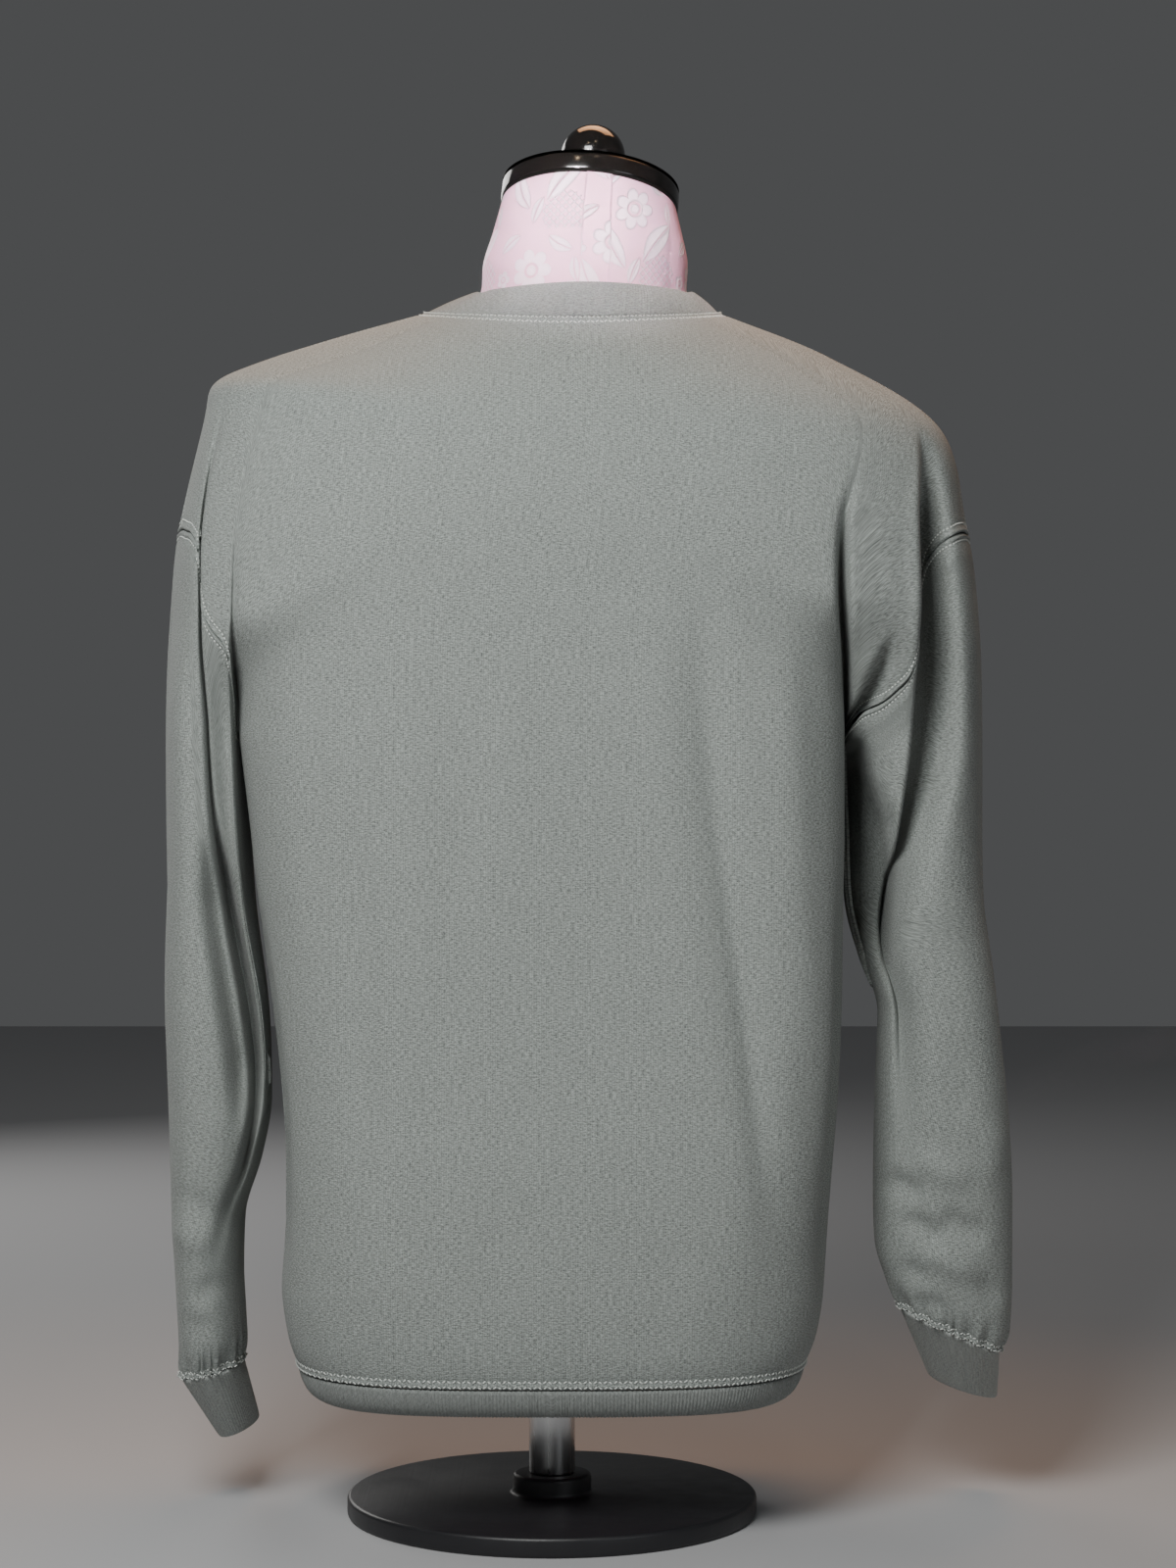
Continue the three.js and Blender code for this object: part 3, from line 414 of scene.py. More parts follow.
def shade(degrees):
    """Back in object mode, shades the active piece smooth up to an angle."""
    mode("OBJECT")
    bpy.ops.object.shade_smooth_by_angle(angle=math.radians(degrees))


def normals_of(p, closed=False):
    """Outward normals of a grid of points, rows up and columns to the right."""
    if closed:
        wide = np.concatenate([p[:, -2:-1], p, p[:, 1:2]], 1)
        east = wide[:, 2:] - wide[:, :-2]
    else:
        east = np.gradient(p, axis=1)
    return unit(np.cross(east, np.gradient(p, axis=0)))


def lengths(p, axis):
    """Length along the grid's rows or columns, from the start."""
    d = np.linalg.norm(np.diff(p, axis=axis), axis=-1)
    pad = [(0, 0), (0, 0)]
    pad[axis] = (1, 0)
    return np.cumsum(np.pad(d, pad), axis=axis)


def lay_grid(name, p, uv, closed=False, keep=None):
    """Adds a grid primitive and lays it on points p (rows, columns, 3), in millimetres.
    Edges that meet are sewn together when closed, and what isn't to keep is cut away."""
    rows, columns = p.shape[0] - 1, p.shape[1] - 1
    bpy.ops.object.select_all(action="DESELECT")
    bpy.ops.mesh.primitive_grid_add(x_subdivisions=columns, y_subdivisions=rows, size=2)
    piece = bpy.context.object
    piece.name = piece.data.name = name
    mesh = piece.data
    flat = np.empty(len(mesh.vertices) * 3)
    mesh.vertices.foreach_get("co", flat)
    flat = flat.reshape(-1, 3)
    j = np.rint((flat[:, 0] + 1) / 2 * columns).astype(int)
    i = np.rint((flat[:, 1] + 1) / 2 * rows).astype(int)
    mesh.vertices.foreach_set("co", (p[i, j] * MM).ravel())
    corner_vertex = np.empty(len(mesh.loops), int)
    mesh.loops.foreach_get("vertex_index", corner_vertex)
    mesh.uv_layers[0].data.foreach_set("uv", (uv[i, j][corner_vertex] * MM).ravel())
    if keep is not None:
        mode("EDIT")
        bpy.ops.mesh.select_all(action="DESELECT")
        bpy.ops.mesh.select_mode(type="VERT")
        mode("OBJECT")
        mesh.vertices.foreach_set("select", ~keep[i, j])
        mode("EDIT")
        bpy.ops.mesh.delete(type="VERT")
        mode("OBJECT")
    if closed:
        mode("EDIT")
        bpy.ops.mesh.select_all(action="SELECT")
        bpy.ops.mesh.remove_doubles(threshold=1e-5)
        mode("OBJECT")
    bpy.ops.object.shade_smooth()
    return piece


def thicken(piece):
    """Gives a sheet its wall, inwards from the face that is seen."""
    bpy.ops.object.select_all(action="DESELECT")
    piece.select_set(True)
    bpy.context.view_layer.objects.active = piece
    solid = piece.modifiers.new("wall", "SOLIDIFY")
    solid.thickness = WALL * MM
    solid.offset = -1
    bpy.ops.object.modifier_apply(modifier=solid.name)
    print(piece.name, len(piece.data.polygons), "faces,",
          round(sum(f.area for f in piece.data.polygons) / 2, 3), "square metres a side")


# %% [markdown]
# Soft troughs and ridges are laid over that drape. Each one is a path of a few
# points in the front view, X and Z in millimetres, with a lift, a width on each side and
# soft ends. They differ in length, depth and spacing, as folds in heavy fleece do.

# %% Folds laid one by one
def lift_along(p, n, path, lift, wide, ends=0.3, mask=None):
    """Moves cloth out along n, beside a path in the X-Z view. `lift` is the move at the
    path's start and end."""
    path = np.array(path, float)
    a, b = path[:-1], path[1:]
    span = np.linalg.norm(b - a, axis=1)
    start = running(span)[:-1]
    q = p[..., [0, 2]][..., None, :]
    t = np.clip(((q - a) * (b - a)).sum(-1) / span**2, 0, 1)
    away = q - (a + (b - a) * t[..., None])
    far = np.linalg.norm(away, axis=-1)
    best = far.argmin(-1)[..., None]
    d = np.take_along_axis(far, best, -1)[..., 0]
    ahead = np.take_along_axis(start + t * span, best, -1)[..., 0] / (start[-1] + span[-1])
    cross = (b - a)[:, 0] * away[..., 1] - (b - a)[:, 1] * away[..., 0]
    left = np.take_along_axis(cross, best, -1)[..., 0] > 0
    width = np.where(left, wide[0], wide[1])
    first, last = lift if hasattr(lift, "__len__") else (lift, lift)
    head, tail = ends if hasattr(ends, "__len__") else (ends, ends)
    amount = mix(first, last, ahead) * bump(d, width)
    amount = amount * smooth(ahead / head) * smooth((1 - ahead) / tail)
    if mask is not None:
        amount = amount * mask
    return p + n * amount[..., None]


def fold_all(p, folds, mask, closed=False):
    n = normals_of(p, closed)
    for path, lift, wide, ends in folds:
        p = lift_along(p, n, path, lift, wide, ends, mask)
    return p


# %% [markdown]
# Every seam of a sweatshirt is an overlocked ridge that is pressed flat and held by a cover
# stitch. From outside it is a thin dark line between two thin welts, and a few millimetres
# away a row of small stitches draws the cloth down. So near a seam the cloth is moved by its
# distance from the seam, its rows lie a millimetre apart there, and the stitches are laid
# later, along lines that are found here.

# %% Seams
SEAM_REACH = 7
SEAM_DEPTH, TROUGH_DEPTH = 1.1, 0.5  # of the seam's own line and of its row of stitches
WELT_AT = 1.9
THREADS = {}  # the rows of stitches, as points and outward ways, by the name of their seam


def rows_of(length, spacing, low=0, high=0):
    """Shares from 0 to 1 of a length: one every `spacing` millimetres and closer together
    beside a sewn edge at the low or the high end."""
    at = np.linspace(0, length, 2000)
    weight = 1 / spacing + low * bump(at, SEAM_REACH) + high * bump(length - at, SEAM_REACH)
    return crowded(at, weight) / length


def seam_shape(p, n, distance, stitch, welt=0.55):
    """Line, welt and stitched trough beside a seam. `distance` runs from the seam on."""
    amount = (welt * bump(distance - WELT_AT, 1.1) - SEAM_DEPTH * bump(distance, 0.8)
              - TROUGH_DEPTH * bump(distance - stitch, 1.3))
    return p + n * amount[..., None]


def thread_line(seam, p, n, distance, offset):
    """Keeps a row of stitches at `offset` millimetres from a seam that lies along row 0 of
    a grid, with `distance` growing row by row."""
    k = np.argmax(distance >= offset, axis=0)
    j = np.flatnonzero(k > 0)
    k = k[j]
    low, high = distance[k - 1, j], distance[k, j]
    share = ((offset - low) / (high - low))[:, None]
    line = mix(p[k - 1, j], p[k, j], share), mix(n[k - 1, j], n[k, j], share)
    THREADS.setdefault(seam, []).append(line)


# %% [markdown]
# The back and the front are cut alike: one wide panel each, from the waistband to the neck,
# with a dropped shoulder that reaches down over the arm. The grid has more columns where
# the arm's crease is, because the cloth turns sharply there, and at the shoulder seam.

# %% Columns of the cloth
BODY_COLUMNS = 66
ARM_COLUMNS = 84
crowd = np.linspace(1, 2, 800)
weight = (1 + 3.5 * bump(crowd - 1.5, 0.05) + 1.5 * bump(crowd - 1.0, 0.05)
          + 3.5 * bump(crowd - 2.0, 0.06))
arm_places = crowded(crowd, weight, ARM_COLUMNS + 1)
places = np.concatenate([np.linspace(0, 1, BODY_COLUMNS + 1), arm_places[1:]])


def armhole_step(column):
    side, c = place(column)[::2]
    return np.where(c <= 1, 0, sided(ARMHOLE, c, "step", side))


ROW_SPACING = 4.6
YOKE_LENGTH = 225
body_rows = rows_of(UNDERARM_Z - HEM_Z, ROW_SPACING, low=0.9)
yoke_rows = {face: rows_of(YOKE_LENGTH, spacing, low=1.1, high=0.9)
             for face, spacing in ((-1, 2.8), (1, ROW_SPACING))}
BODY_ROWS = len(body_rows) - 1


def panel_points(face):
    """Points of a panel, the columns they lie on, which of them are cloth, and their UVs.
    Above the underarm a place in the knit is its length along lines of equal step, on the
    drape before any fold, so that the knit runs on from the body without a break."""
    c = np.concatenate([-places[:0:-1], places])
    column = c if face < 0 else np.where(c < 0, 1, -1) * (4 - np.abs(c))
    low = armhole_step(column)
    step = low + (5 - low) * yoke_rows[face][:, None]
    top = upper(column + 0 * step, step)
    z = (HEM_Z + (UNDERARM_Z - HEM_Z) * body_rows)[:-1, None]
    under = body(column + 0 * z, z + 0 * column)
    p = np.concatenate([under, top], 0)
    keep = np.ones(p.shape[:2], bool)
    keep[:BODY_ROWS, np.abs(c) > 1 + 1e-9] = False
    steps = np.linspace(0, 5, 90)[:, None]
    drape = upper(column + 0 * steps, steps + 0 * column)
    wide, high = lengths(drape, 1), lengths(drape, 0)
    wide -= wide[:, len(c) // 2:len(c) // 2 + 1]
    uv = np.stack([lengths(p, 1), lengths(p, 0)], -1)
    uv[..., 0] -= uv[:, len(c) // 2, :1]
    on_body = np.flatnonzero(np.abs(c) < 1 + 1e-9)
    start = uv[BODY_ROWS, np.clip(np.arange(len(c)), on_body[0], on_body[-1]), 1]
    for j in range(len(c)):
        uv[BODY_ROWS:, j, 0] = np.interp(step[:, j], steps[:, 0], wide[:, j])
        uv[BODY_ROWS:, j, 1] = np.interp(step[:, j], steps[:, 0], high[:, j]) + start[j]
    return p, column + np.zeros(p.shape[:2]), keep, uv


# %% [markdown]
# On the back two long troughs run down from the shoulder blade on the right, one inside the
# other, and the rest are shallow waves. Above the right underarm a short steep crease turns
# in, where the cloth of the shoulder is pulled under the arm. The front, which is not seen,
# has a few broad folds of the same kind. Each row below is one trough or ridge.

# %% Folds of the back and the front
BACK_FOLDS = [  # path in X and Z, lift, widths right and left, softness of the ends
    ([(86, 575), (88, 503), (97, 422), (109, 340), (118, 271), (126, 213), (132, 155)],
     (-4.6, -5.6), (13, 10), 0.25),
    ([(87, 540), (90, 490), (99, 410), (110, 332), (119, 262), (127, 200)], (-1.6, -2.6),
     (5, 4), 0.3),
    ([(60, 580), (62, 500), (68, 420), (80, 340), (92, 265), (100, 205)], (2.6, 2.2),
     (11, 17), 0.3),
    ([(134, 570), (139, 480), (143, 400), (148, 320), (152, 240)], (3.6, 2.6), (12, 15), 0.3),
    ([(-112, 450), (-112, 400), (-109, 330), (-106, 260), (-104, 190)], -3.4, (12, 14), 0.35),
    ([(-84, 560), (-80, 450), (-76, 350), (-74, 250)], 2.2, (12, 14), 0.4),
    ([(-26, 530), (-25, 440), (-22, 350)], 1.8, (12, 12), 0.4),
    ([(-52, 500), (-50, 430), (-50, 360)], -1.5, (9, 9), 0.4),
    ([(14, 470), (20, 380), (22, 280), (18, 200)], -2.0, (15, 18), 0.45),
    ([(-146, 560), (-150, 470), (-148, 380), (-140, 300)], 1.6, (10, 14), 0.4),
    ([(-30, 215), (-38, 160), (-34, 115)], -1.2, (14, 12), 0.4),
    ([(58, 190), (64, 150), (60, 108)], -1.4, (12, 12), 0.4),
]
FRONT_FOLDS = [
    ([(-70, 600), (-84, 500), (-80, 380), (-92, 240)], 3.0, (24, 18), 0.35),
    ([(-30, 520), (-36, 400), (-30, 260)], -2.4, (20, 26), 0.4),
    ([(66, 610), (78, 510), (74, 390), (86, 230)], 3.2, (18, 24), 0.35),
    ([(24, 540), (32, 420), (26, 280)], -2.2, (24, 18), 0.4),
    ([(0, 610), (4, 560), (2, 500)], -1.6, (26, 26), 0.4),
]
ARM_FOLDS_BACK = [  # the diagonal crease above the right underarm, and the ridge beside it
    ([(203, 536), (197, 526), (191, 512), (184, 496), (178, 483), (171, 468)], (-8, -18),
     (8, 1.2), (0.35, 0.05)),
    ([(194, 534), (186, 514), (180, 497), (172, 480)], (3.4, 5.6), (4, 6.5), (0.4, 0.1)),
    ([(236, 640), (226, 590), (222, 545)], (-2.2, -1.4), (9, 12), 0.4),
    ([(-212, 640), (-214, 600), (-216, 560)], -1.6, (9, 8), 0.4),
]


# %% [markdown]
# Both panels are made in one way: the grid is laid on the drape, folded, drawn down beside
# its seams and given its wall. The rows of stitches are found on the way, because only here
# the seams are still straight lines of the grid: armhole, shoulder, neck and hem.

# %% The two panels
pieces = {}
STITCH = {"armhole": 6.2, "sleeve": 4.2, "shoulder": 6, "neck": 4.6, "hem": 4.8}
SECOND_ROW = 3  # how much nearer to the seam a second row of stitches lies


def side_name(side):
    return "right" if side > 0 else "left"


def cloth_panel(name, face, folds):
    p, column, keep, uv = panel_points(face)
    c = place(column)[2]
    p = fold_all(p, folds, smooth((1.02 - c) / 0.1))
    if face < 0:
        to_camera = np.array([0, -1, 0]) + 0 * p
        for one in ARM_FOLDS_BACK:
            p = lift_along(p, to_camera, *one, smooth((c - 1.0) / 0.06))
    n = normals_of(p)
    climb, across = lengths(p, 0), lengths(p, 1)
    past = climb - climb[BODY_ROWS]
    arm, yoke = c > 1.02, np.arange(len(p))[:, None] >= BODY_ROWS
    far = 1e3 + 0 * climb  # so far that no seam acts
    armhole = np.where(arm & yoke, past, far)
    shoulder = np.where(yoke, np.minimum(across, across[:, -1:] - across), far)
    neck = climb[-1:] - climb
    hem = np.where(arm, far, climb)
    for distance, seam in ((armhole, "armhole"), (shoulder, "shoulder"), (neck, "neck"),
                           (hem, "hem")):
        p = seam_shape(p, n, distance, STITCH[seam])
    piece = lay_grid(name, p, uv, keep=keep)
    thicken(piece)
    pieces[name] = piece
    n = normals_of(p)
    top = slice(BODY_ROWS, None)
    for side in (1, -1):
        columns = (c[0] > 1.02) & (side * column[0] > 0)
        thread_line("armhole_" + side_name(side), p[top, columns], n[top, columns],
                    past[top, columns], STITCH["armhole"])
    for flip in (1, -1):
        edge = [a[top, ::flip].swapaxes(0, 1) for a in (p, n)]
        inward = np.abs(across - across[:, ::flip][:, :1])[top, ::flip].T
        thread_line("shoulders", *edge, inward, STITCH["shoulder"])
    on_body = c[0] <= 1
    for nearer in (0, SECOND_ROW):
        thread_line("neck", p[::-1], n[::-1], neck[::-1], STITCH["neck"] - nearer)
        thread_line("hem", p[:, on_body], n[:, on_body], climb[:, on_body],
                    STITCH["hem"] - nearer)
    print(name, "is", round(float(np.ptp(uv[top, :, 0], axis=1).max())),
          "mm across the arms,", round(float(across[0, -1])), "mm at the hem and",
          round(climb[:, across.shape[1] // 2].max()), "mm long")


cloth_panel("back_body", -1, BACK_FOLDS)
cloth_panel("front_body", 1, FRONT_FOLDS)


# %% [markdown]
# A sleeve is a tube that narrows to the cuff, sewn along the underarm. It hangs empty, so
# the crease of the shoulder runs on down its length until the sleeve fills out again over
# its own weight near the cuff, where the wider sleeve is gathered into the rib.

# %% Sleeves
SLEEVE_LENGTH, SLEEVE_SPACING = 500, 4.3


def arm_columns(side):
    """Columns round an arm, from the underarm over the back to the front again."""
    c = np.concatenate([arm_places, 4 - arm_places[-2::-1]])
    return c if side > 0 else -c[::-1]


def sleeve_points(side):
    """Points of a sleeve, from the cuff's seam to the armhole's, and their columns."""
    way = side_name(side)
    column = arm_columns(side)
    seam_step = armhole_step(column)
    seam_z = np.where(place(column)[2] <= 1, UNDERARM_Z, yoke_height(column, seam_step))
    share = rows_of(SLEEVE_LENGTH, SLEEVE_SPACING, low=1.1, high=1.1)[:, None]
    z = CUFF[way]["z"] + (seam_z - CUFF[way]["z"]) * share
    column = column + 0 * z
    step = np.zeros_like(z)
    for _ in range(24):  # the step at which the shoulder seam is at height z
        step += (z - read(SHOULDER[way], step, "z")) / 70
    high = upper(column, np.clip(step, 0, 3))
    low = sleeve_low(column, z)
    above = (z > UNDERARM_Z) & (seam_z > UNDERARM_Z + 1e-6)
    return np.where(above[..., None], high, low), column


SLEEVE_HOLLOWS = {  # where the sleeve turns in, away from the body or from its own flap
    1: [
        ([(181, 472), (187, 450), (199, 421), (203, 387), (201, 350), (200, 315)], (-36, -42),
         (4, 24), (0.06, 0.3)),
        ([(174, 462), (182, 425), (188, 385), (193, 340)], (-16, -16), (15, 15), (0.1, 0.3)),
    ],
    -1: [
        ([(-204, 425), (-201, 375), (-193, 322), (-188, 287), (-185, 255), (-185, 232)],
         (-22, -34), (12, 4), (0.3, 0.25)),
    ],
}
SLEEVE_FOLDS = {
    1: [
        ([(202, 214), (210, 204), (226, 198)], -4.4, (6, 8), 0.4),
        ([(214, 224), (232, 214), (254, 206)], 3.4, (8, 7), 0.35),
        ([(206, 186), (222, 180), (240, 168)], -4.2, (6, 8), 0.35),
        ([(230, 190), (246, 180), (264, 172)], -4.4, (6, 9), 0.35),
        ([(222, 168), (240, 156), (258, 152)], 3.6, (8, 6), 0.35),
        ([(210, 160), (220, 150), (232, 146)], -3.2, (6, 6), 0.4),
        ([(254, 150), (264, 140), (272, 130)], -3.4, (6, 7), 0.4),
        ([(262, 250), (266, 225), (262, 200)], 2.2, (8, 9), 0.4),
        ([(240, 300), (246, 262), (242, 236)], -1.8, (9, 9), 0.4),
        ([(216, 136), (228, 132), (242, 126)], -2.6, (5, 5), 0.4),
    ],
    -1: [
        ([(-224, 206), (-210, 194), (-198, 182)], -3.2, (7, 8), 0.4),
        ([(-228, 184), (-214, 172), (-202, 166)], 2.6, (8, 7), 0.4),
        ([(-196, 152), (-206, 142), (-220, 138)], -3.0, (6, 7), 0.4),
        ([(-224, 126), (-212, 120), (-200, 120)], -2.0, (5, 5), 0.4),
    ],
}


def cloth_sleeve(name, side):
    p, column = sleeve_points(side)
    face, c = place(column)[1:]
    on_back = np.where(face < 0, smooth((c - 1.03) / 0.08), 0)
    for one in SLEEVE_HOLLOWS[side]:
        p = lift_along(p, np.array([0, -1, 0]) + 0 * p, *one, on_back)
    p = fold_all(p, SLEEVE_FOLDS[side], on_back, closed=True)
    n = normals_of(p, closed=True)
    climb = lengths(p, 0)
    to_armhole = climb[-1:] - climb
    p = seam_shape(p, n, to_armhole, STITCH["sleeve"])
    gather = 1.5 * np.sin(np.cumsum(0.7 + 0.4 * np.sin(np.arange(p.shape[1]) * 0.37)))
    p += n * (gather * bump(climb - 6, 11))[..., None]
    p = seam_shape(p, n, climb, STITCH["sleeve"], welt=0.9)
    p[:, -1] = p[:, 0]
    uv = np.stack([lengths(p, 1), climb], -1)
    piece = lay_grid(name, p, uv, closed=True)
    thicken(piece)
    pieces[name] = piece
    n = normals_of(p, closed=True)
    thread_line("armhole_" + side_name(side), p[::-1], n[::-1], to_armhole[::-1],
                STITCH["sleeve"])
    for offset in (STITCH["sleeve"], STITCH["sleeve"] - 2.6):
        thread_line("cuffs", p, n, climb, offset)
    around = lengths(p, 1)[:, -1]
    print(name, "is", round(around[-1]), "mm round the armhole,", round(around[0]),
          "mm round the cuff seam and", round(climb.max()), "mm long on the outside")


cloth_sleeve("sleeve_right_cloth", 1)
cloth_sleeve("sleeve_left_cloth", -1)

# %% [markdown]
# Neckband, cuffs and waistband are 1x1 rib, folded double: upright ribs about two
# millimetres apart. Ribs that size are seen against the light, so they are modelled, four
# columns to a rib, and the folded edge is a round turn between outside and inside.

# %% Ribbed tubes
RIB_DEPTH = 0.42
RIB_SECTION = np.array([0.5, 1.0, 0.5, -0.35])
FOLD_TURN = np.radians([25, 50, 75, 105, 130, 155])  # where the round fold has its rows


def even_places(surface, share, columns):
    """Columns that lie at even lengths along one ring of a surface, and its length. The
    ring is unrolled over the front, where the columns' sign changes."""
    unrolled = np.where(columns < -1e-9, columns + 8, columns) if columns[0] >= 0 else columns
    unrolled[-1] = 8 if columns[0] == 0 else unrolled[-1]
    p = surface(columns, share + 0 * columns)
    along = running(np.linalg.norm(np.diff(p, axis=0), axis=1))

    def at(t):
        return wrapped(np.interp(t * along[-1], along, unrolled))
    return at, along[-1]


def rib_tube(name, surface, columns, share, pitch, rows, wall, turn_top):
    """A doubled rib tube on surface(column, share), share 0 to 1, ribs running along it.
    The round fold is at share 1 when turn_top, else at share 0."""
    at, length = even_places(surface, share, columns)
    ribs = int(round(length / pitch))
    t = np.linspace(0, 1, ribs * 4 + 1)
    share = np.linspace(0, 1, rows + 1)
    p = surface(at(t)[None, :] + 0 * share[:, None], share[:, None] + 0 * t[None, :])
    n = normals_of(p, closed=True)
    ridge = RIB_DEPTH * RIB_SECTION[np.arange(len(t)) % 4]
    end = share if turn_top else 1 - share
    shown = smooth((1 - end) / 0.06)[:, None]
    outer = p + n * (ridge[None, :] * (0.35 + 0.65 * shown))[..., None]
    inner = p - n * wall
    edge, before = (-1, -2) if turn_top else (0, 1)
    along = unit(p[edge] - p[before])
    centre = (outer[edge] + inner[edge]) / 2
    half = (outer[edge] - inner[edge]) / 2
    reach = np.linalg.norm(half, axis=-1, keepdims=True)
    turns = [centre + half * math.cos(a) + along * reach * math.sin(a)
             for a in FOLD_TURN]
    loop = [*outer, *turns, *inner[::-1]] if turn_top else [*outer[::-1], *turns, *inner]
    grid = np.array([*loop, loop[0]])
    if not turn_top:
        grid = grid[::-1]
    uv = np.stack([np.broadcast_to(t * length, grid.shape[:2]), lengths(grid, 0)], -1)
    piece = lay_grid(name, grid, uv, closed=True)
    print(name, "has", ribs, "ribs", round(length / ribs, 2), "mm apart on", round(length),
          "mm, and stands", round(float(np.median(lengths(p, 0)[-1]))), "mm wide")
    pieces[name] = piece


# %% [markdown]
# The neckband is cut shorter than the neck's opening and stretched on, so it stands up and
# leans in towards the neck, most at the sides, and its middle bellies out a little. It is
# highest at the back, and it leans to the right with the form's neck.

# %% The neckband
def neck_surface(column, share):
    face, c = place(column)[1:]
    low = upper(column, 5 + 0 * column)
    centre = float(read(MIDDLE, 5, "shift"))
    ways = np.where(face < 0, 0, 2)
    blend = smooth(1 - c / 1.6)
    rise, tuck = (np.array(NECKBAND[k]) for k in ("rise", "tuck"))
    rise, tuck = (mix(v[1], v[ways], blend) for v in (rise, tuck))
    out = unit(low[..., :2] - np.array([centre, 0]))
    bulge = NECKBAND["belly"] * np.sin(np.pi * share) * (0.3 + 0.7 * blend)
    low[..., :2] += out * (bulge - tuck * share)[..., None]
    low[..., 0] += NECKBAND["shift"] * share
    low[..., 2] += rise * share + bulge
    return low


ring = np.concatenate([np.linspace(0, 4, 401), np.linspace(-4, 0, 401)[1:]])
rib_tube("neckband", neck_surface, ring, 0.5, 1.9, 14, 2.2, True)

# %% [markdown]
# The waistband is a tube of rib, shorter than the hem is round. Nothing fills it, so it
# springs in, and its folded edge lies under the form like the rim of a shallow bowl.

# %% The waistband
def band_surface(column, share):
    """Share 0 is the folded edge under the form, 1 is the seam of the hem."""
    down = 5 * (1 - share)
    out = body(column, HEM_Z + 0 * column)
    ahead, behind = (body(wrapped(column + d), HEM_Z + 0 * column) for d in (0.02, -0.02))
    along = unit(ahead - behind)
    inward = read(WAISTBAND, down, "inward")
    out[..., 0] -= along[..., 1] * inward
    out[..., 1] += along[..., 0] * inward
    out[..., 2] = read(WAISTBAND, down, "z")
    return out


body_columns = np.concatenate([np.linspace(0, 1, 101), np.linspace(3, 4, 101),
                               np.linspace(-4, -3, 101)[1:], np.linspace(-1, 0, 101)])
rib_tube("waistband", band_surface, body_columns, 0.8, 2.1, 16, 2.2, False)

# %% [markdown]
# A cuff is a short tube of rib, much narrower than the sleeve that is gathered into it. Its
# upper edge is the sleeve's own last ring, and its folded edge is a smaller oval that hangs
# where the photo shows it, a little to the inside and leaning.

# %% The cuffs
def cuff_surface(side):
    cuff = CUFF[side_name(side)]

    def surface(column, share):
        face, c = place(column)[1:]
        top = sleeve_low(column, cuff["z"] + 0 * column)
        turn = (c - 1) * np.pi
        ex, ey, ez = cuff["end"]
        x = ex - cuff["across"] * np.cos(turn)
        y = ey + face * cuff["along"] * np.sin(turn)
        low = np.stack([side * x, y, ez + cuff["lean"] * (x - ex)], -1)
        return mix(low, top, np.asarray(share)[..., None])
    return surface


for side, start in ((1, 1), (-1, -3)):
    rib_tube("cuff_" + side_name(side) + "_rib", cuff_surface(side),
             np.linspace(start, start + 2, 401), 0.6, 2.1, 16, 2, False)

# %% [markdown]
# The dress form is lofted through rings, from its flat lower end over hip, waist and chest
# to the shoulders, which follow the cloth from inside, and up the leaning neck. It is one
# smooth closed shell, so it is made as a grid too, finer than the solid it stands for. Its
# cover is closed at the back of the neck under a narrow strip, a little proud of the rest.

# %% The dress form
FORM = chart("z drop wide back front shift",
             (108, 0, 128, 94, 94, 0), (116, 0, 136, 100, 100, 0), (140, 0, 143, 106, 105, 0),
             (190, 0, 149, 112, 108, 0), (240, 0, 145, 106, 106, 0), (290, 0, 131, 96, 100, 0),
             (345, 0, 120, 90, 97, 1), (395, 0, 127, 94, 105, 1), (445, 2, 139, 99, 116, 2),
             (495, 5, 150, 105, 123, 4), (545, 12, 153, 109, 121, 6),
             (590, 26, 157, 109, 116, 9), (630, 48, 166, 103, 110, 11),
             (660, 66, 178, 96, 104, 13))
FORM_SHOULDERS = chart("step clear", (3.5, 2.8), (3.8, 1.7), (4.1, 1.1), (4.4, 1), (4.7, 1),
                       (5, 1))
NECK = chart("backZ sideZ frontZ wide back front shift",
             (740, 740, 656, 65, 56, 60, 18.5), (764, 764, 694, 62.5, 54.5, 57, 20.5),
             (782, 781, 742, 58, 53.5, 55, 21.5))
NECK_TOP = Vector((22.8, 3, 798))
NECK_RADIUS = 53.5
TILT = Euler((math.radians(-13.5), math.radians(4), 0))
CLOTH_WALL = 2
FORM_COLUMNS, RING_SPACING = 200, 6.0
STRIP = (-0.065, 0.319)  # columns of the strip's two edges
STRIP_EDGE, STRIP_RISE, STRIP_FROM_Z = 0.014, 0.9, 728
STRIP_SHIFT = np.array([13, 21])  # how far the pattern on the strip is out of step


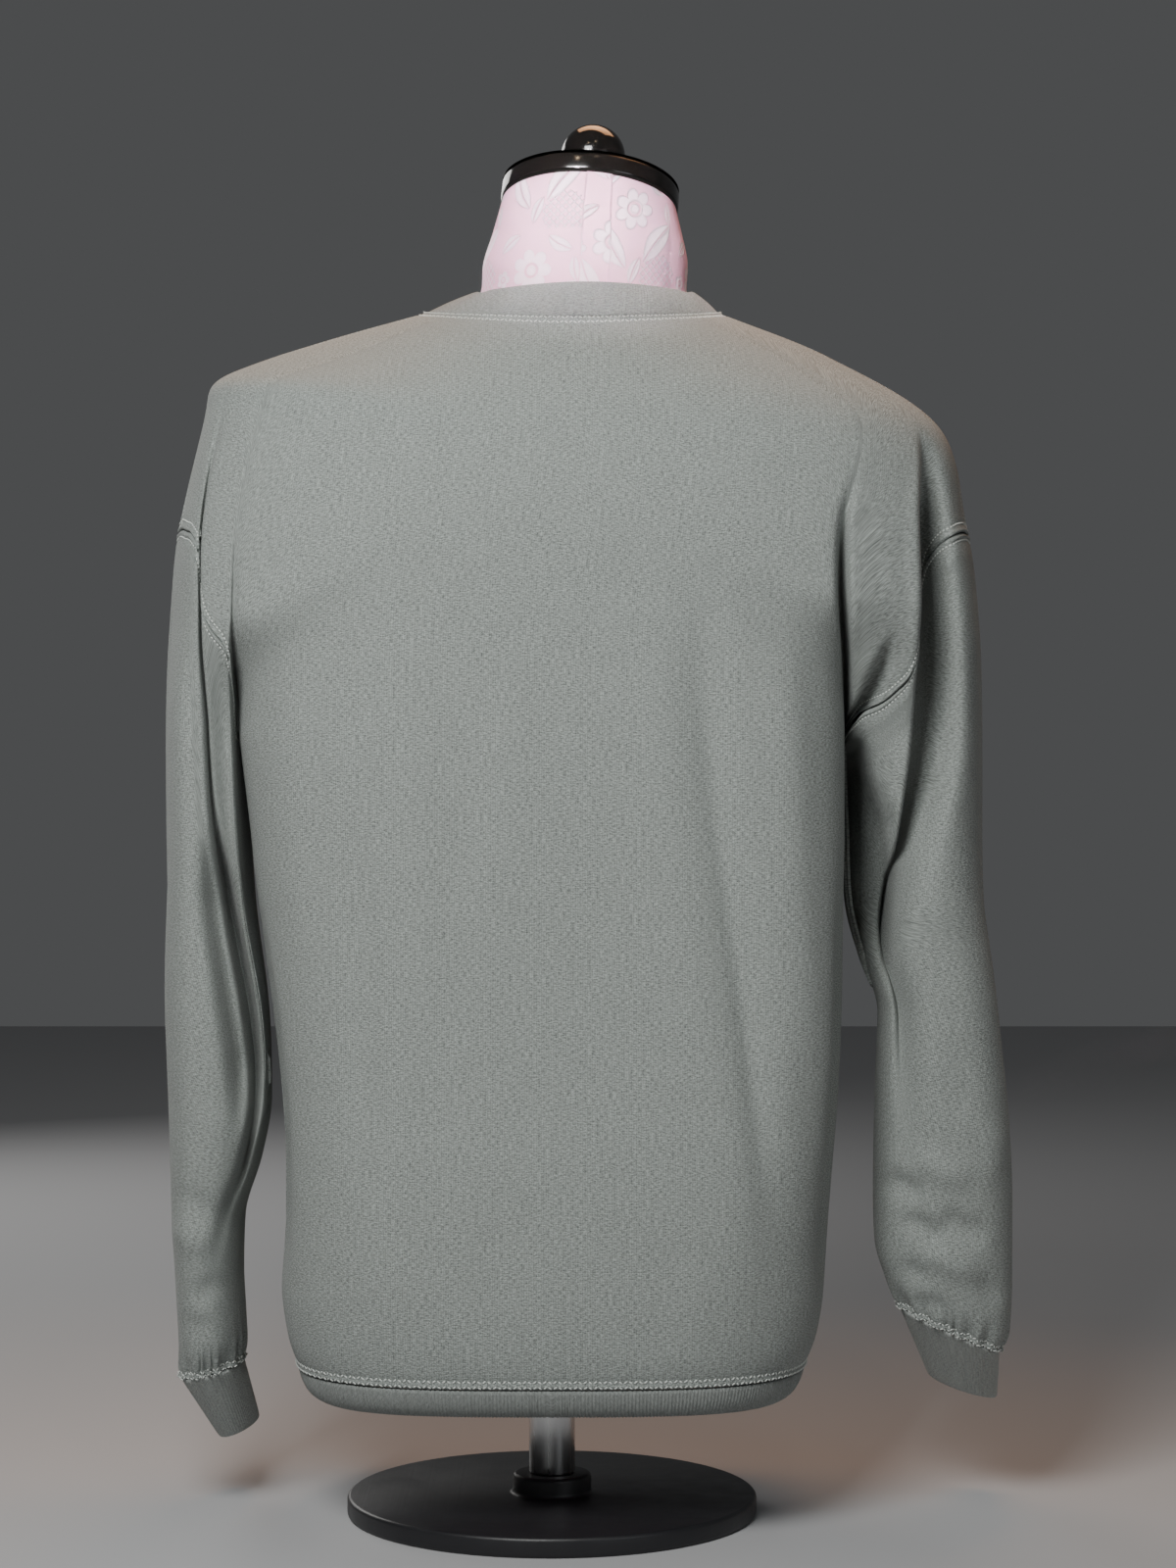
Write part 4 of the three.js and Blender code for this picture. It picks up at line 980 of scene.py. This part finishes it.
def form_rings(column):
    """The form's rings as rows of points, from below, on columns from -4 to 4."""
    side, face, c = place(column)
    rings = []

    def add_ring(height, wide, back, front, shift, square):
        across, along = corner(45 * c, square)
        depth = face * np.where(face < 0, back, front)
        rings.append(np.stack([shift + side * wide * across, depth * along, height], -1))

    for z, drop, *sizes in zip(*FORM.values()):
        add_ring(z - np.where(face > 0, drop * smooth(1 - c / 1.6), 0), *sizes, 2.3)
    for step, clear in zip(*FORM_SHOULDERS.values()):
        below, above = (upper(column, step + d + 0 * column) for d in (-0.02, 0.02))
        west, east = (upper(wrapped(column + d), step + 0 * column) for d in (-0.012, 0.012))
        out = unit(np.cross(east - west, above - below))
        rings.append(upper(column, step + 0 * column) - out * (CLOTH_WALL + clear))
    for back_z, side_z, front_z, *sizes in zip(*NECK.values()):
        middle_z = np.where(face < 0, back_z, front_z)
        add_ring(mix(side_z, middle_z, corner(45 * c, 1.7)[1]), *sizes, 2)
    turn = c * np.pi / 4
    top = np.stack([side * np.sin(turn), face * np.cos(turn), 0 * c], -1) * NECK_RADIUS
    rings.append(top @ np.array(TILT.to_matrix()).T + np.array(NECK_TOP))
    return np.array(rings)


def fine_rings(rings, between):
    """More rings between those given, on smooth curves up each column."""
    ahead = np.linalg.norm(np.diff(rings, axis=0), axis=-1).mean(1)
    slope = np.gradient(rings, running(ahead), axis=0)
    out = []
    for i, h in enumerate(ahead):
        count = max(1, int(round(h / between)))
        out += [curve(rings[i], rings[i + 1], slope[i] * h, slope[i + 1] * h, u)
                for u in np.arange(count) / count]
    return np.array([*out, rings[-1]])


crowd = np.linspace(-4, 4, 4001)
weight = 1 + 5 * (bump(crowd - STRIP[0], 0.02) + bump(crowd - STRIP[1], 0.02))
form_columns = crowded(crowd, weight, FORM_COLUMNS)
form_points = fine_rings(form_rings(form_columns), RING_SPACING)
strip = (smooth((form_columns - STRIP[0]) / STRIP_EDGE)
         * smooth((STRIP[1] - form_columns) / STRIP_EDGE))
form_n = normals_of(form_points, closed=True)
form_uv = np.stack([lengths(form_points, 1), form_points[..., 2]], -1)
form_uv[..., 0] -= form_uv[:, len(form_columns) // 2][:, None, 0]
form_uv += strip[None, :, None] * STRIP_SHIFT
proud = strip * STRIP_RISE * smooth((form_points[..., 2] - STRIP_FROM_Z) / 14)
form_points = form_points + form_n * proud[..., None]
form = lay_grid("dress_form", form_points, form_uv, closed=True)
mode("EDIT")
bpy.ops.mesh.select_mode(type="EDGE")
bpy.ops.mesh.select_all(action="SELECT")
bpy.ops.mesh.region_to_loop()
bpy.ops.mesh.edge_face_add()
shade(50)
pieces["dress_form"] = form
print("form", len(form.data.polygons), "faces")


# %% [markdown]
# The neck ends in a turned cap with a ball finial, both in glossy black. They lean with the
# neck: the cap's back edge stands higher, and its right side lower.

# %% Cap and finial
CAP_RADIUS, CAP_HEIGHT, CAP_EDGE = 54.5, 13, 3
CAP_CROWN = ((8, 0.6), (10, 0.45), (12, 0.3), (10, 0.15))  # its steps inwards and up
BALL_RADIUS, STEM_RADIUS, STEM_HEIGHT = 19.8, 11, 2.5
GAP = 0.3  # between the neck and the cap, and between the cap and the ball


def on_neck(piece, height):
    """Turns a piece made round the origin on to the leaning neck and applies its place."""
    piece.rotation_euler = TILT
    lift = Vector((0, 0, height))
    lift.rotate(TILT)
    piece.location = (lift + NECK_TOP) * MM
    bpy.ops.object.transform_apply(location=True, rotation=True, scale=True)


def rounded(piece, width, segments, degrees=40):
    bevel = piece.modifiers.new("round", "BEVEL")
    bevel.width = width * MM
    bevel.segments = segments
    bevel.limit_method = "ANGLE"
    bevel.angle_limit = math.radians(degrees)
    bpy.ops.object.modifier_apply(modifier=bevel.name)


def select_level(piece, way):
    """Selects the faces that look straight up (1) or down (-1), in edit mode."""
    mode("EDIT")
    bpy.ops.mesh.select_mode(type="FACE")
    bpy.ops.mesh.select_all(action="DESELECT")
    mode("OBJECT")
    for face in piece.data.polygons:
        face.select = way * face.normal.z > 0.99
    mode("EDIT")


def cylinder(name, radius, low, high, sides):
    bpy.ops.object.select_all(action="DESELECT")
    bpy.ops.mesh.primitive_cylinder_add(vertices=sides, radius=radius * MM,
                                        depth=(high - low) * MM,
                                        location=(0, 0, (high + low) / 2 * MM))
    piece = bpy.context.object
    piece.name = piece.data.name = name
    bpy.ops.object.transform_apply(location=True, rotation=True, scale=True)
    return piece


cap = cylinder("neck_cap_disc", CAP_RADIUS, 0, CAP_HEIGHT, 96)
rounded(cap, CAP_EDGE, 6)
select_level(cap, 1)
for inset, rise in CAP_CROWN:
    bpy.ops.mesh.inset(thickness=inset * MM)
    bpy.ops.transform.translate(value=(0, 0, rise * MM))
shade(40)
on_neck(cap, GAP)
pieces["neck_cap"] = cap

bpy.ops.object.select_all(action="DESELECT")
bpy.ops.mesh.primitive_uv_sphere_add(segments=64, ring_count=40, radius=BALL_RADIUS * MM)
ball = bpy.context.object
ball.name = ball.data.name = "ball_finial"
ball_height = STEM_HEIGHT + math.sqrt(BALL_RADIUS**2 - STEM_RADIUS**2)
mode("EDIT")
bpy.ops.mesh.select_all(action="SELECT")
bpy.ops.mesh.bisect(plane_co=(0, 0, (STEM_HEIGHT - ball_height) * MM), plane_no=(0, 0, 1),
                    clear_inner=True, use_fill=True)
mode("OBJECT")
select_level(ball, -1)
bpy.ops.mesh.extrude_region_move(TRANSFORM_OT_translate={"value": (0, 0, -STEM_HEIGHT * MM)})
bpy.ops.mesh.select_all(action="SELECT")
bpy.ops.transform.translate(value=(0, 0, ball_height * MM))
shade(50)
on_neck(ball, CAP_HEIGHT + sum(rise for inset, rise in CAP_CROWN) + 2 * GAP)
pieces["finial"] = ball

# %% [markdown]
# The stand is plain: a steel tube up into the form, and a round weighted foot with a collar
# that grips the tube.

# %% Pole and base
POLE_RADIUS, POLE_LOW, POLE_HIGH = 14, 24.3, 107.7
FOOT_RADIUS, FOOT_HEIGHT, COLLAR_RADIUS, COLLAR_HEIGHT = 125, 12, 24, 12

pole = cylinder("stand_tube", POLE_RADIUS, POLE_LOW, POLE_HIGH, 64)
rounded(pole, 0.8, 2)
shade(40)
pieces["stand_pole"] = pole

base = cylinder("stand_foot", FOOT_RADIUS, 0, FOOT_HEIGHT, 128)
select_level(base, 1)
bpy.ops.mesh.inset(thickness=(FOOT_RADIUS - COLLAR_RADIUS) * MM)
bpy.ops.mesh.extrude_region_move(TRANSFORM_OT_translate={"value": (0, 0, COLLAR_HEIGHT * MM)})
mode("OBJECT")
rounded(base, 2.4, 4)
shade(40)
pieces["stand_base"] = base

# %% [markdown]
# Stitches are small and many. One is modelled, a bead of 24 faces, and copies of it are set
# along the lines that were found beside the seams, each turned to the way its line runs and
# lying on the cloth. All the stitches of one seam are one mesh.

# %% Stitches
bpy.ops.object.select_all(action="DESELECT")
bpy.ops.mesh.primitive_uv_sphere_add(segments=6, ring_count=4, radius=0.5,
                                     rotation=(0, math.radians(90), 0))
bpy.ops.object.transform_apply(location=True, rotation=True, scale=True)
bead = bpy.context.object
bead_points = np.array([v.co for v in bead.data.vertices])
bead_faces = [tuple(f.vertices) for f in bead.data.polygons]
bpy.ops.object.delete()


def sew(name, lines, pitch, size, zigzag):
    """Copies of the bead along lines of (points, outward ways), in millimetres. `zigzag` is
    how far every other one lies to the side; they then lean to each other."""
    beads = []
    for points, ways in lines:
        along = running(np.linalg.norm(np.diff(points, axis=0), axis=1))
        at = np.arange(pitch, along[-1] - pitch / 2, pitch)
        centre, way, ahead, behind = (
            np.stack([np.interp(at + d, along, v[:, k]) for k in range(3)], 1)
            for v, d in ((points, 0), (ways, 0), (points, pitch / 2), (points, -pitch / 2)))
        way, x = unit(way), unit(ahead - behind)
        swerve = np.where(np.arange(len(at)) % 2, 1, -1)[:, None]
        x = unit(x + np.cross(way, x) * swerve * (0.9 if zigzag else 0))
        y = np.cross(way, x)
        centre = centre + y * swerve * zigzag / 2 + way * size[2] * 0.3
        b = bead_points * size
        beads.append(centre[:, None] + b[:, :1] * x[:, None] + b[:, 1:2] * y[:, None]
                     + b[:, 2:] * way[:, None])
    beads = np.concatenate(beads)
    faces = [tuple(i + k * len(bead_points) for i in face)
             for k in range(len(beads)) for face in bead_faces]
    mesh = bpy.data.meshes.new(name)
    mesh.from_pydata((beads.reshape(-1, 3) * MM).tolist(), [], faces)
    made = bpy.data.objects.new(name, mesh)
    bpy.context.collection.objects.link(made)
    mesh.shade_smooth()
    pieces[name] = made
    print(name, "has", len(beads), "stitches")


SEWN = {  # pitch, size of a stitch and how far every other one lies to the side
    "armhole_right": (2.6, (1.7, 1.1, 0.8), 0), "armhole_left": (2.6, (1.7, 1.1, 0.8), 0),
    "shoulders": (2.6, (1.7, 1.1, 0.8), 0), "neck": (2.6, (2.5, 1.0, 0.8), 0.5),
    "hem": (2.9, (2.5, 1.1, 0.8), 0.4), "cuffs": (2.4, (2.4, 1.0, 0.8), 0.9),
}
for seam, how in SEWN.items():
    sew("stitches_" + seam, THREADS[seam], *how)
STITCHES = [name for name in pieces if name.startswith("stitches")]

# %% [markdown]
# Each piece takes the place of one solid of the CAD part and rides on its one body, so that
# what is seen and what collides belong together. The stitches stand for no solid: they
# belong to the sheets that they hold, and they are only added to what is seen.

# %% Which solid each piece stands for
STANDS_FOR = {
    "back_body": "back_panel", "front_body": "front_panel",
    "sleeve_right_cloth": "sleeve_right", "sleeve_left_cloth": "sleeve_left",
    "cuff_right_rib": "cuff_right", "cuff_left_rib": "cuff_left",
    "waistband": "waistband_rib", "neckband": "collar_rib", "dress_form": "form_torso",
    "neck_cap": "neck_cap", "finial": "finial", "stand_pole": "stand_pole",
    "stand_base": "stand_base",
}
for name, piece in pieces.items():
    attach(piece, "root")
    if name in STANDS_FOR:
        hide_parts(STANDS_FOR[name])

# %% [markdown]
# Effects that several finishes share are node groups: they are built once, have named
# sockets, and are placed in each material with that material's own sizes. A Value is a
# socket to reckon with: each sign adds one Math node, so a pattern reads as its formula.

# %% Helpers for node groups
def feed(tree, socket, value):
    """Links a socket or a Value to an input, or sets a constant on it."""
    value = getattr(value, "socket", value)
    if isinstance(value, bpy.types.NodeSocket):
        tree.links.new(value, socket)
    else:
        socket.default_value = value


def calc(tree, operation, *values):
    """The result of a Math node on numbers, sockets and Values."""
    made = tree.nodes.new("ShaderNodeMath")
    made.operation = operation
    for socket, value in zip(made.inputs, values):
        feed(tree, socket, value)
    return Value(tree, made.outputs[0])


class Value:
    """A socket that numbers and other Values can be reckoned with."""
    def __init__(self, tree, socket):
        self.tree, self.socket = tree, socket

    def __rsub__(self, other):
        return calc(self.tree, "SUBTRACT", other, self)


def sign_for(operation):
    return lambda self, *other: calc(self.tree, operation, self, *other)


for sign, operation in dict(__add__="ADD", __sub__="SUBTRACT", __mul__="MULTIPLY",
                            __truediv__="DIVIDE", __pow__="POWER", __abs__="ABSOLUTE",
                            least="MINIMUM", most="MAXIMUM").items():
    setattr(Value, sign, sign_for(operation))


def node(tree, kind, result, settings=None, **inputs):
    """The output `result` of a node with settings and inputs, by their names."""
    made = tree.nodes.new(kind)
    for key, value in (settings or {}).items():
        setattr(made, key, value)
    for key, value in inputs.items():
        feed(tree, made.inputs[key.replace("_", " ")], value)
    return Value(tree, made.outputs[result])


def group(name, takes, gives):
    """A new shader node group with named sockets: its tree, its inputs and its outputs."""
    made = bpy.data.node_groups.new(name, "ShaderNodeTree")
    for label, value in takes.items():
        kind = "NodeSocketVector" if value is None else "NodeSocketFloat"
        socket = made.interface.new_socket(name=label, in_out="INPUT", socket_type=kind)
        if value is not None:
            socket.default_value = value
    for label in gives:
        made.interface.new_socket(name=label, in_out="OUTPUT", socket_type="NodeSocketFloat")
    takes = {socket.name: Value(made, socket)
             for socket in made.nodes.new("NodeGroupInput").outputs if socket.name}
    return made, takes, made.nodes.new("NodeGroupOutput").inputs


def stretched_noise(tree, where, wide, high, detail=2.0, rough=0.55):
    """Noise from 0 to 1 with spots `wide` by `high` millimetres, on a place in metres."""
    size = node(tree, "ShaderNodeCombineXYZ", "Vector", X=calc(tree, "DIVIDE", 1000.0, wide),
                Y=calc(tree, "DIVIDE", 1000.0, high), Z=1.0)
    spot = tree.nodes.new("ShaderNodeVectorMath")
    spot.operation = "MULTIPLY"
    feed(tree, spot.inputs[0], where)
    feed(tree, spot.inputs[1], size)
    value = node(tree, "ShaderNodeTexNoise", "Fac", dict(noise_dimensions="2D"),
                 Vector=spot.outputs[0], Scale=1.0, Detail=detail, Roughness=rough)
    return node(tree, "ShaderNodeMapRange", "Result", Value=value, From_Min=0.28, From_Max=0.72)


# %% [markdown]
# Heathered yarn is spun from light and dark fibres, so a knit of it shows short streaks
# along its courses, a finer grain, and soft patches. The knit itself stands in fine upright
# wales, and the brushed nap blurs both. The group gives a shade, to mix two greys with, and
# a height for the bump.

# %% The heather group
heather, take, give = group("heather_knit", {"Place": None, "Streak": 6.0, "Grain": 1.5,
                                             "Wale": 1.3}, ("Shade", "Height"))
streaks = stretched_noise(heather, take["Place"], take["Streak"], 0.8)
grain = stretched_noise(heather, take["Place"], take["Grain"], take["Grain"] * 0.8)
patches = stretched_noise(heather, take["Place"], 22.0, 15.0, detail=1.0)
along = node(heather, "ShaderNodeSeparateXYZ", "X", Vector=take["Place"])
wales = calc(heather, "SINE", along * (2000 * math.pi) / take["Wale"] + grain * 2.4)
feed(heather, give["Shade"], streaks * 0.55 + grain * 0.35 + patches * 0.03 + wales * 0.07)
feed(heather, give["Height"], streaks * 0.4 + grain * 0.7 + wales * 0.16)

# %% [markdown]
# The cover of the form is a damask, a cloth whose pattern is woven in the same yarn as its
# ground and shows only because it is bound as satin and catches the light. The pattern here
# is a plain traditional one: a flower with two leaves, a bud and a patch of trellis, over
# and over in a half drop. Each motif gives how far inside it a place lies, in millimetres.

# %% The damask group
damask, take, give = group("damask_weave", {"Place": None, "Width": 62.0, "Height": 74.0},
                           ("Motif", "Height"))


def inside_leaf(x, y, at, degrees, long, wide):
    """A pointed leaf with a sunken midrib."""
    c, s = math.cos(math.radians(degrees)), math.sin(math.radians(degrees))
    dx, dy = x - at[0], y - at[1]
    p = dx * (c / long) + dy * (s / long)
    q = dy * c - dx * s
    bow = (1.0 - abs(p) ** 2.2) * wide
    off = abs(q + p * p * (0.35 * wide))
    return (bow - off).least(off - 0.35)


def inside_flower(x, y, at, radius, petals):
    """A flower of round petals with a ring about its eye."""
    dx, dy = x - at[0], y - at[1]
    far = calc(damask, "SQRT", dx * dx + dy * dy)
    turn = calc(damask, "ARCTAN2", dy, dx) * (petals / 2)
    lobe = calc(damask, "SQRT", abs(calc(damask, "COSINE", turn))) * (0.45 * radius)
    eye = abs(far - 0.3 * radius)
    return (lobe + 0.55 * radius - far).least(eye - 0.06 * radius)


FLOWERS = (((-3, 12), 13, 7), ((-24, 8), 5.5, 5))  # middle, radius and petals
LEAVES = (((14, -6), 48, 17, 6.5), ((-16, -12), 118, 15, 6), ((14, 27), 150, 9, 4),
          ((-20, 30), 35, 9, 3.6), ((-2, -25), 70, 9, 3.4), ((24, 12), 100, 8, 3))
TRELLIS = dict(at=(16, -28), radius=14, between=2.4, bar=0.55)

parts = damask.nodes.new("ShaderNodeSeparateXYZ")
feed(damask, parts.inputs[0], take["Place"])
u_mm, v_mm = (Value(damask, parts.outputs[k]) * 1000.0 for k in (0, 1))
tiles = u_mm / take["Width"]
tile = calc(damask, "FLOOR", tiles)
x = (tiles - tile - 0.5) * take["Width"]
half_drop = calc(damask, "PINGPONG", tile, 1.0) * 0.5
y = (calc(damask, "FRACT", v_mm / take["Height"] + half_drop) - 0.5) * take["Height"]
motif = inside_flower(x, y, *FLOWERS[0])
for one in LEAVES:
    motif = motif.most(inside_leaf(x, y, *one))
motif = motif.most(inside_flower(x, y, *FLOWERS[1]))
from_patch = (x - TRELLIS["at"][0]) ** 2.0 + (y - TRELLIS["at"][1]) ** 2.0
patch = TRELLIS["radius"] - calc(damask, "SQRT", from_patch)
for way in (1.0, -1.0):
    bar = TRELLIS["bar"] - calc(damask, "PINGPONG", x + y * way, TRELLIS["between"])
    motif = motif.most(bar.least(patch))
mask = node(damask, "ShaderNodeMapRange", "Result", dict(interpolation_type="SMOOTHSTEP"),
            Value=motif, From_Min=-0.2, From_Max=0.35)
feed(damask, give["Motif"], mask)
threads = calc(damask, "SINE", (u_mm + v_mm) * 7.0)
rim = node(damask, "ShaderNodeMapRange", "Result", Value=motif, From_Min=0.2, From_Max=1.4,
           To_Min=1.0, To_Max=0.55)
feed(damask, give["Height"], mask * rim + threads * 0.05)

# %% [markdown]
# Nothing that is handled stays evenly clean. The patina group gives soft smudges and fine
# brushed lines, on Object coordinates, which change the roughness and the surface a little.

# %% The patina group
patina, take, give = group("patina", {"Place": None, "Smudge": 30.0, "Line": 0.6,
                                      "Along": 40.0}, ("Smudges", "Lines"))
feed(patina, give["Smudges"],
     stretched_noise(patina, take["Place"], take["Smudge"], take["Smudge"], 4.0, 0.6))
swung = node(patina, "ShaderNodeVectorRotate", "Vector", dict(rotation_type="X_AXIS"),
             Vector=take["Place"], Angle=math.radians(90))
feed(patina, give["Lines"], stretched_noise(patina, swung, take["Line"], take["Along"], 2.0))
print("node groups:", [g.name for g in (heather, damask, patina)])

# %% [markdown]
# Brushed fleece scatters light, so it is rough and has a little sheen, and its heather mixes
# a dark and a light grey. The rib has the same yarn with less nap; its grey is darker, in
# part its own and in part painted shade for the waistband, which turns under. The cuffs hang
# in the sleeve's shade and are as light as the sleeves, so their rib is painted lighter than
# the other rib: painted light that makes up for that shade.
# Satin is smoother than the ground that it is woven in, and that is most of a damask's look.
# Here the satin is also painted lighter than the ground, a painted sheen.

# %% Materials
def material(name, colour, roughness, **inputs):
    """A material, its node tree and its shader, with constants on the shader's sockets."""
    made = bpy.data.materials.new(name)
    made.use_nodes = True
    shader = made.node_tree.nodes["Principled BSDF"]
    shader.inputs["Base Color"].default_value = (*colour, 1)
    shader.inputs["Roughness"].default_value = roughness
    for key, value in inputs.items():
        shader.inputs[key.replace("_", " ")].default_value = value
    return made, made.node_tree, shader


def placed(tree, effect, on, **sizes):
    """Puts a node group in a material, on its UV map or its Object coordinates."""
    made = tree.nodes.new("ShaderNodeGroup")
    made.node_tree = effect
    feed(tree, made.inputs["Place"], node(tree, "ShaderNodeTexCoord", on))
    for key, value in sizes.items():
        made.inputs[key].default_value = value
    return made.outputs


def two_tone(tree, shader, share, dark, light):
    """Mixes two colours by a share and feeds them to the shader."""
    blend = tree.nodes.new("ShaderNodeMix")
    blend.data_type = "RGBA"
    feed(tree, blend.inputs["Factor"], share)
    blend.inputs[6].default_value = (*dark, 1)
    blend.inputs[7].default_value = (*light, 1)
    feed(tree, shader.inputs["Base Color"], blend.outputs[2])


def raise_by(tree, shader, height, distance, strength=1.0):
    """Bump from a height, `distance` in millimetres."""
    feed(tree, shader.inputs["Normal"],
         node(tree, "ShaderNodeBump", "Normal", Height=height, Distance=distance * MM,
              Strength=strength))


def rough_by(tree, shader, share, low, high):
    """Roughness that runs from `low` to `high` by a share."""
    feed(tree, shader.inputs["Roughness"],
         node(tree, "ShaderNodeMapRange", "Result", Value=share, To_Min=low, To_Max=high))


def heathered(name, grey, spread, streak, grain, wale, bump_mm, sheen):
    made, tree, shader = material(name, grey, 0.92, Sheen_Weight=sheen, Sheen_Roughness=0.5)
    knit = placed(tree, heather, "UV", Streak=streak, Grain=grain, Wale=wale)
    dark, light = ([v * (1 + way * spread) for v in grey] for way in (-1, 1))
    two_tone(tree, shader, knit["Shade"], dark, light)
    raise_by(tree, shader, knit["Height"], bump_mm, 0.7)
    return made


def varied(name, colour, rough, smooth_to, effect, bump_mm, **inputs):
    """A hard finish whose roughness runs between two values by the patina."""
    made, tree, shader = material(name, colour, rough, **inputs)
    worn = placed(tree, patina, "Object", **effect)
    rough_by(tree, shader, worn["Smudges"], smooth_to, rough)
    raise_by(tree, shader, worn["Lines"], bump_mm)
    return made


fleece = heathered("brushed_fleece", (0.25, 0.272, 0.258), 0.7, 2.4, 0.8, 1.4, 0.35, 0.12)
# Painted shade in part: this rib's grey is darker partly for the waistband, which turns under
# and lies in shade.
rib = heathered("rib_knit_with_painted_shade", (0.215, 0.23, 0.22), 0.5, 2.6, 1.0, 1.0, 0.25, 0.1)
# Painted light: the cuffs' rib is lighter than the other rib, to make up for the shade they
# hang in.
cuff_rib_painted_light = heathered("cuff_rib_painted_light", (0.33, 0.35, 0.335), 0.5, 2.6, 1.0, 1.0, 0.25, 0.1)
thread = heathered("sewing_thread", (0.6, 0.63, 0.6), 0.1, 1.0, 0.6, 0.5, 0.05, 0.1)
black = varied("polished_black", (0.005, 0.0045, 0.004), 0.16, 0.07,
               dict(Smudge=22.0, Line=2.0, Along=9.0), 0.004, Coat_Weight=0.2,
               Coat_Roughness=0.04)
steel = varied("brushed_tube", (0.6, 0.6, 0.6), 0.34, 0.2,
               dict(Smudge=26.0, Line=0.4, Along=30.0), 0.01, Metallic=1.0)
paint = varied("foot_paint", (0.012, 0.012, 0.014), 0.5, 0.36,
               dict(Smudge=40.0, Line=1.6, Along=1.6), 0.02)

cover, tree, shader = material("damask_cover", (0.83, 0.66, 0.74), 0.55, Sheen_Weight=0.1)
woven = placed(tree, damask, "UV")
# Painted sheen: the satin motif is painted lighter than the ground; its lower roughness below
# is real.
two_tone(tree, shader, woven["Motif"], (0.93, 0.5, 0.67), (1.0, 0.78, 0.88))
rough_by(tree, shader, woven["Motif"], 0.62, 0.38)
raise_by(tree, shader, woven["Height"], 1.3)
DRESS = (
    (fleece, "fleece", ["back_body", "front_body", "sleeve_right_cloth",
                        "sleeve_left_cloth"]),
    (cuff_rib_painted_light, "rib", ["cuff_right_rib", "cuff_left_rib"]),
    (rib, "rib", ["waistband", "neckband"]), (cover, "form_cover", ["dress_form"]),
    (black, "gloss_black", ["neck_cap", "finial"]), (steel, "steel", ["stand_pole"]),
    (paint, "base_paint", ["stand_base"]), (thread, "fleece", STITCHES),
)
for made, slot, names in DRESS:
    for name in names:
        pieces[name].data.materials.clear()
        pieces[name].data.materials.append(made)

# %% [markdown]
# The floor is plain and pale, and the light is soft, because hard shadows would hide the
# shapes. The key stands high on the left, so that folds, seams and ribs show by their
# shading. Weak warm lamps above warm the shoulders, and one small lamp lights the neck.

# %% Floor, light and world
bpy.ops.object.select_all(action="DESELECT")
bpy.ops.mesh.primitive_plane_add(size=8)
floor = bpy.context.object
floor.name = "floor"
floor.data.materials.append(material("floor_paint", (0.42, 0.42, 0.43), 0.85)[0])
world = bpy.data.worlds.new("studio")
bpy.context.scene.world = world
world.use_nodes = True
sky = world.node_tree.nodes["Background"].inputs
sky["Color"].default_value = (0.86, 0.88, 0.9, 1)
sky["Strength"].default_value = 0.09


def softbox(name, at, aim, size, power, colour, spread=180):
    bpy.ops.object.light_add(type="AREA", location=at)
    light = bpy.context.object
    light.name = name
    light.data.shape = "RECTANGLE"
    light.data.size, light.data.size_y = size
    light.data.energy = power
    light.data.color = colour
    light.data.spread = math.radians(spread)
    light.rotation_euler = (Vector(aim) - Vector(at)).to_track_quat("-Z", "Y").to_euler()


softbox("key", (-0.36, -1.2, 1.2), (0.02, 0, 0.6), (0.55, 0.55), 24, (0.985, 1, 0.985))
softbox("fill", (1.4, -1.7, 0.85), (0.12, 0, 0.5), (0.9, 0.9), 4.5, (0.95, 0.98, 1))
softbox("overhead", (0.08, 0.22, 1.3), (0.01, 0, 0.7), (0.6, 0.3), 1.5, (1, 0.5, 0.24), 95)
softbox("front", (-1.0, 1.7, 1.1), (0, 0, 0.4), (1.0, 1.0), 12, (1, 0.98, 0.95))
softbox("neck_lamp", (-0.25, -0.9, 1.0), (0.022, -0.04, 0.785), (0.1, 0.1), 0.14,
        (1, 0.84, 0.9), 7)
softbox("lamp_left", (-0.5, -1.5, 2.2), (0, 0, 0.8), (0.1, 0.1), 1.0, (1, 0.75, 0.5))
softbox("lamp_right", (0.3, -1.4, 2.3), (0, 0, 0.8), (0.1, 0.1), 1.0, (1, 0.78, 0.55))

# %% [markdown]
# A soft piece is cut from flat cloth, so each one says how large it is when it is laid out,
# how it is held and on what it rests. The areas that the pieces measure are printed beside
# what was said.

# %% Sheets, sizes and the end
SHEETS = {  # flat width, length and area as cut, how it is held, on what, and its stitches
    "back_body": (0.75, 0.64, 0.345, "draped", ["dress_form"],
                  ["stitches_shoulders", "stitches_neck"]),
    "front_body": (0.75, 0.57, 0.34, "draped", ["dress_form"], ["stitches_hem"]),
    "sleeve_right_cloth": (0.56, 0.52, 0.165, "hung", ["back_body", "front_body"],
                           ["stitches_armhole_right", "stitches_cuffs"]),
    "sleeve_left_cloth": (0.56, 0.52, 0.165, "hung", ["back_body", "front_body"],
                          ["stitches_armhole_left"]),
    "cuff_right_rib": (0.19, 0.058, 0.011, "hung", ["sleeve_right_cloth"], []),
    "cuff_left_rib": (0.19, 0.058, 0.011, "hung", ["sleeve_left_cloth"], []),
    "waistband": (0.938, 0.052, 0.0487, "hung", ["back_body", "front_body"], []),
    "neckband": (0.548, 0.027, 0.0147, "draped", ["dress_form"], []),
}
for name, (width, length, area, held, on, sewn) in SHEETS.items():
    measured = sum(f.area for f in pieces[name].data.polygons) / 2
    print(name, "is cut from", area, "square metres and measures", round(measured, 4))
triangles = {name: sum(len(f.vertices) - 2 for f in piece.data.polygons)
             for name, piece in pieces.items()}
print("triangles:", sum(triangles.values()), triangles)
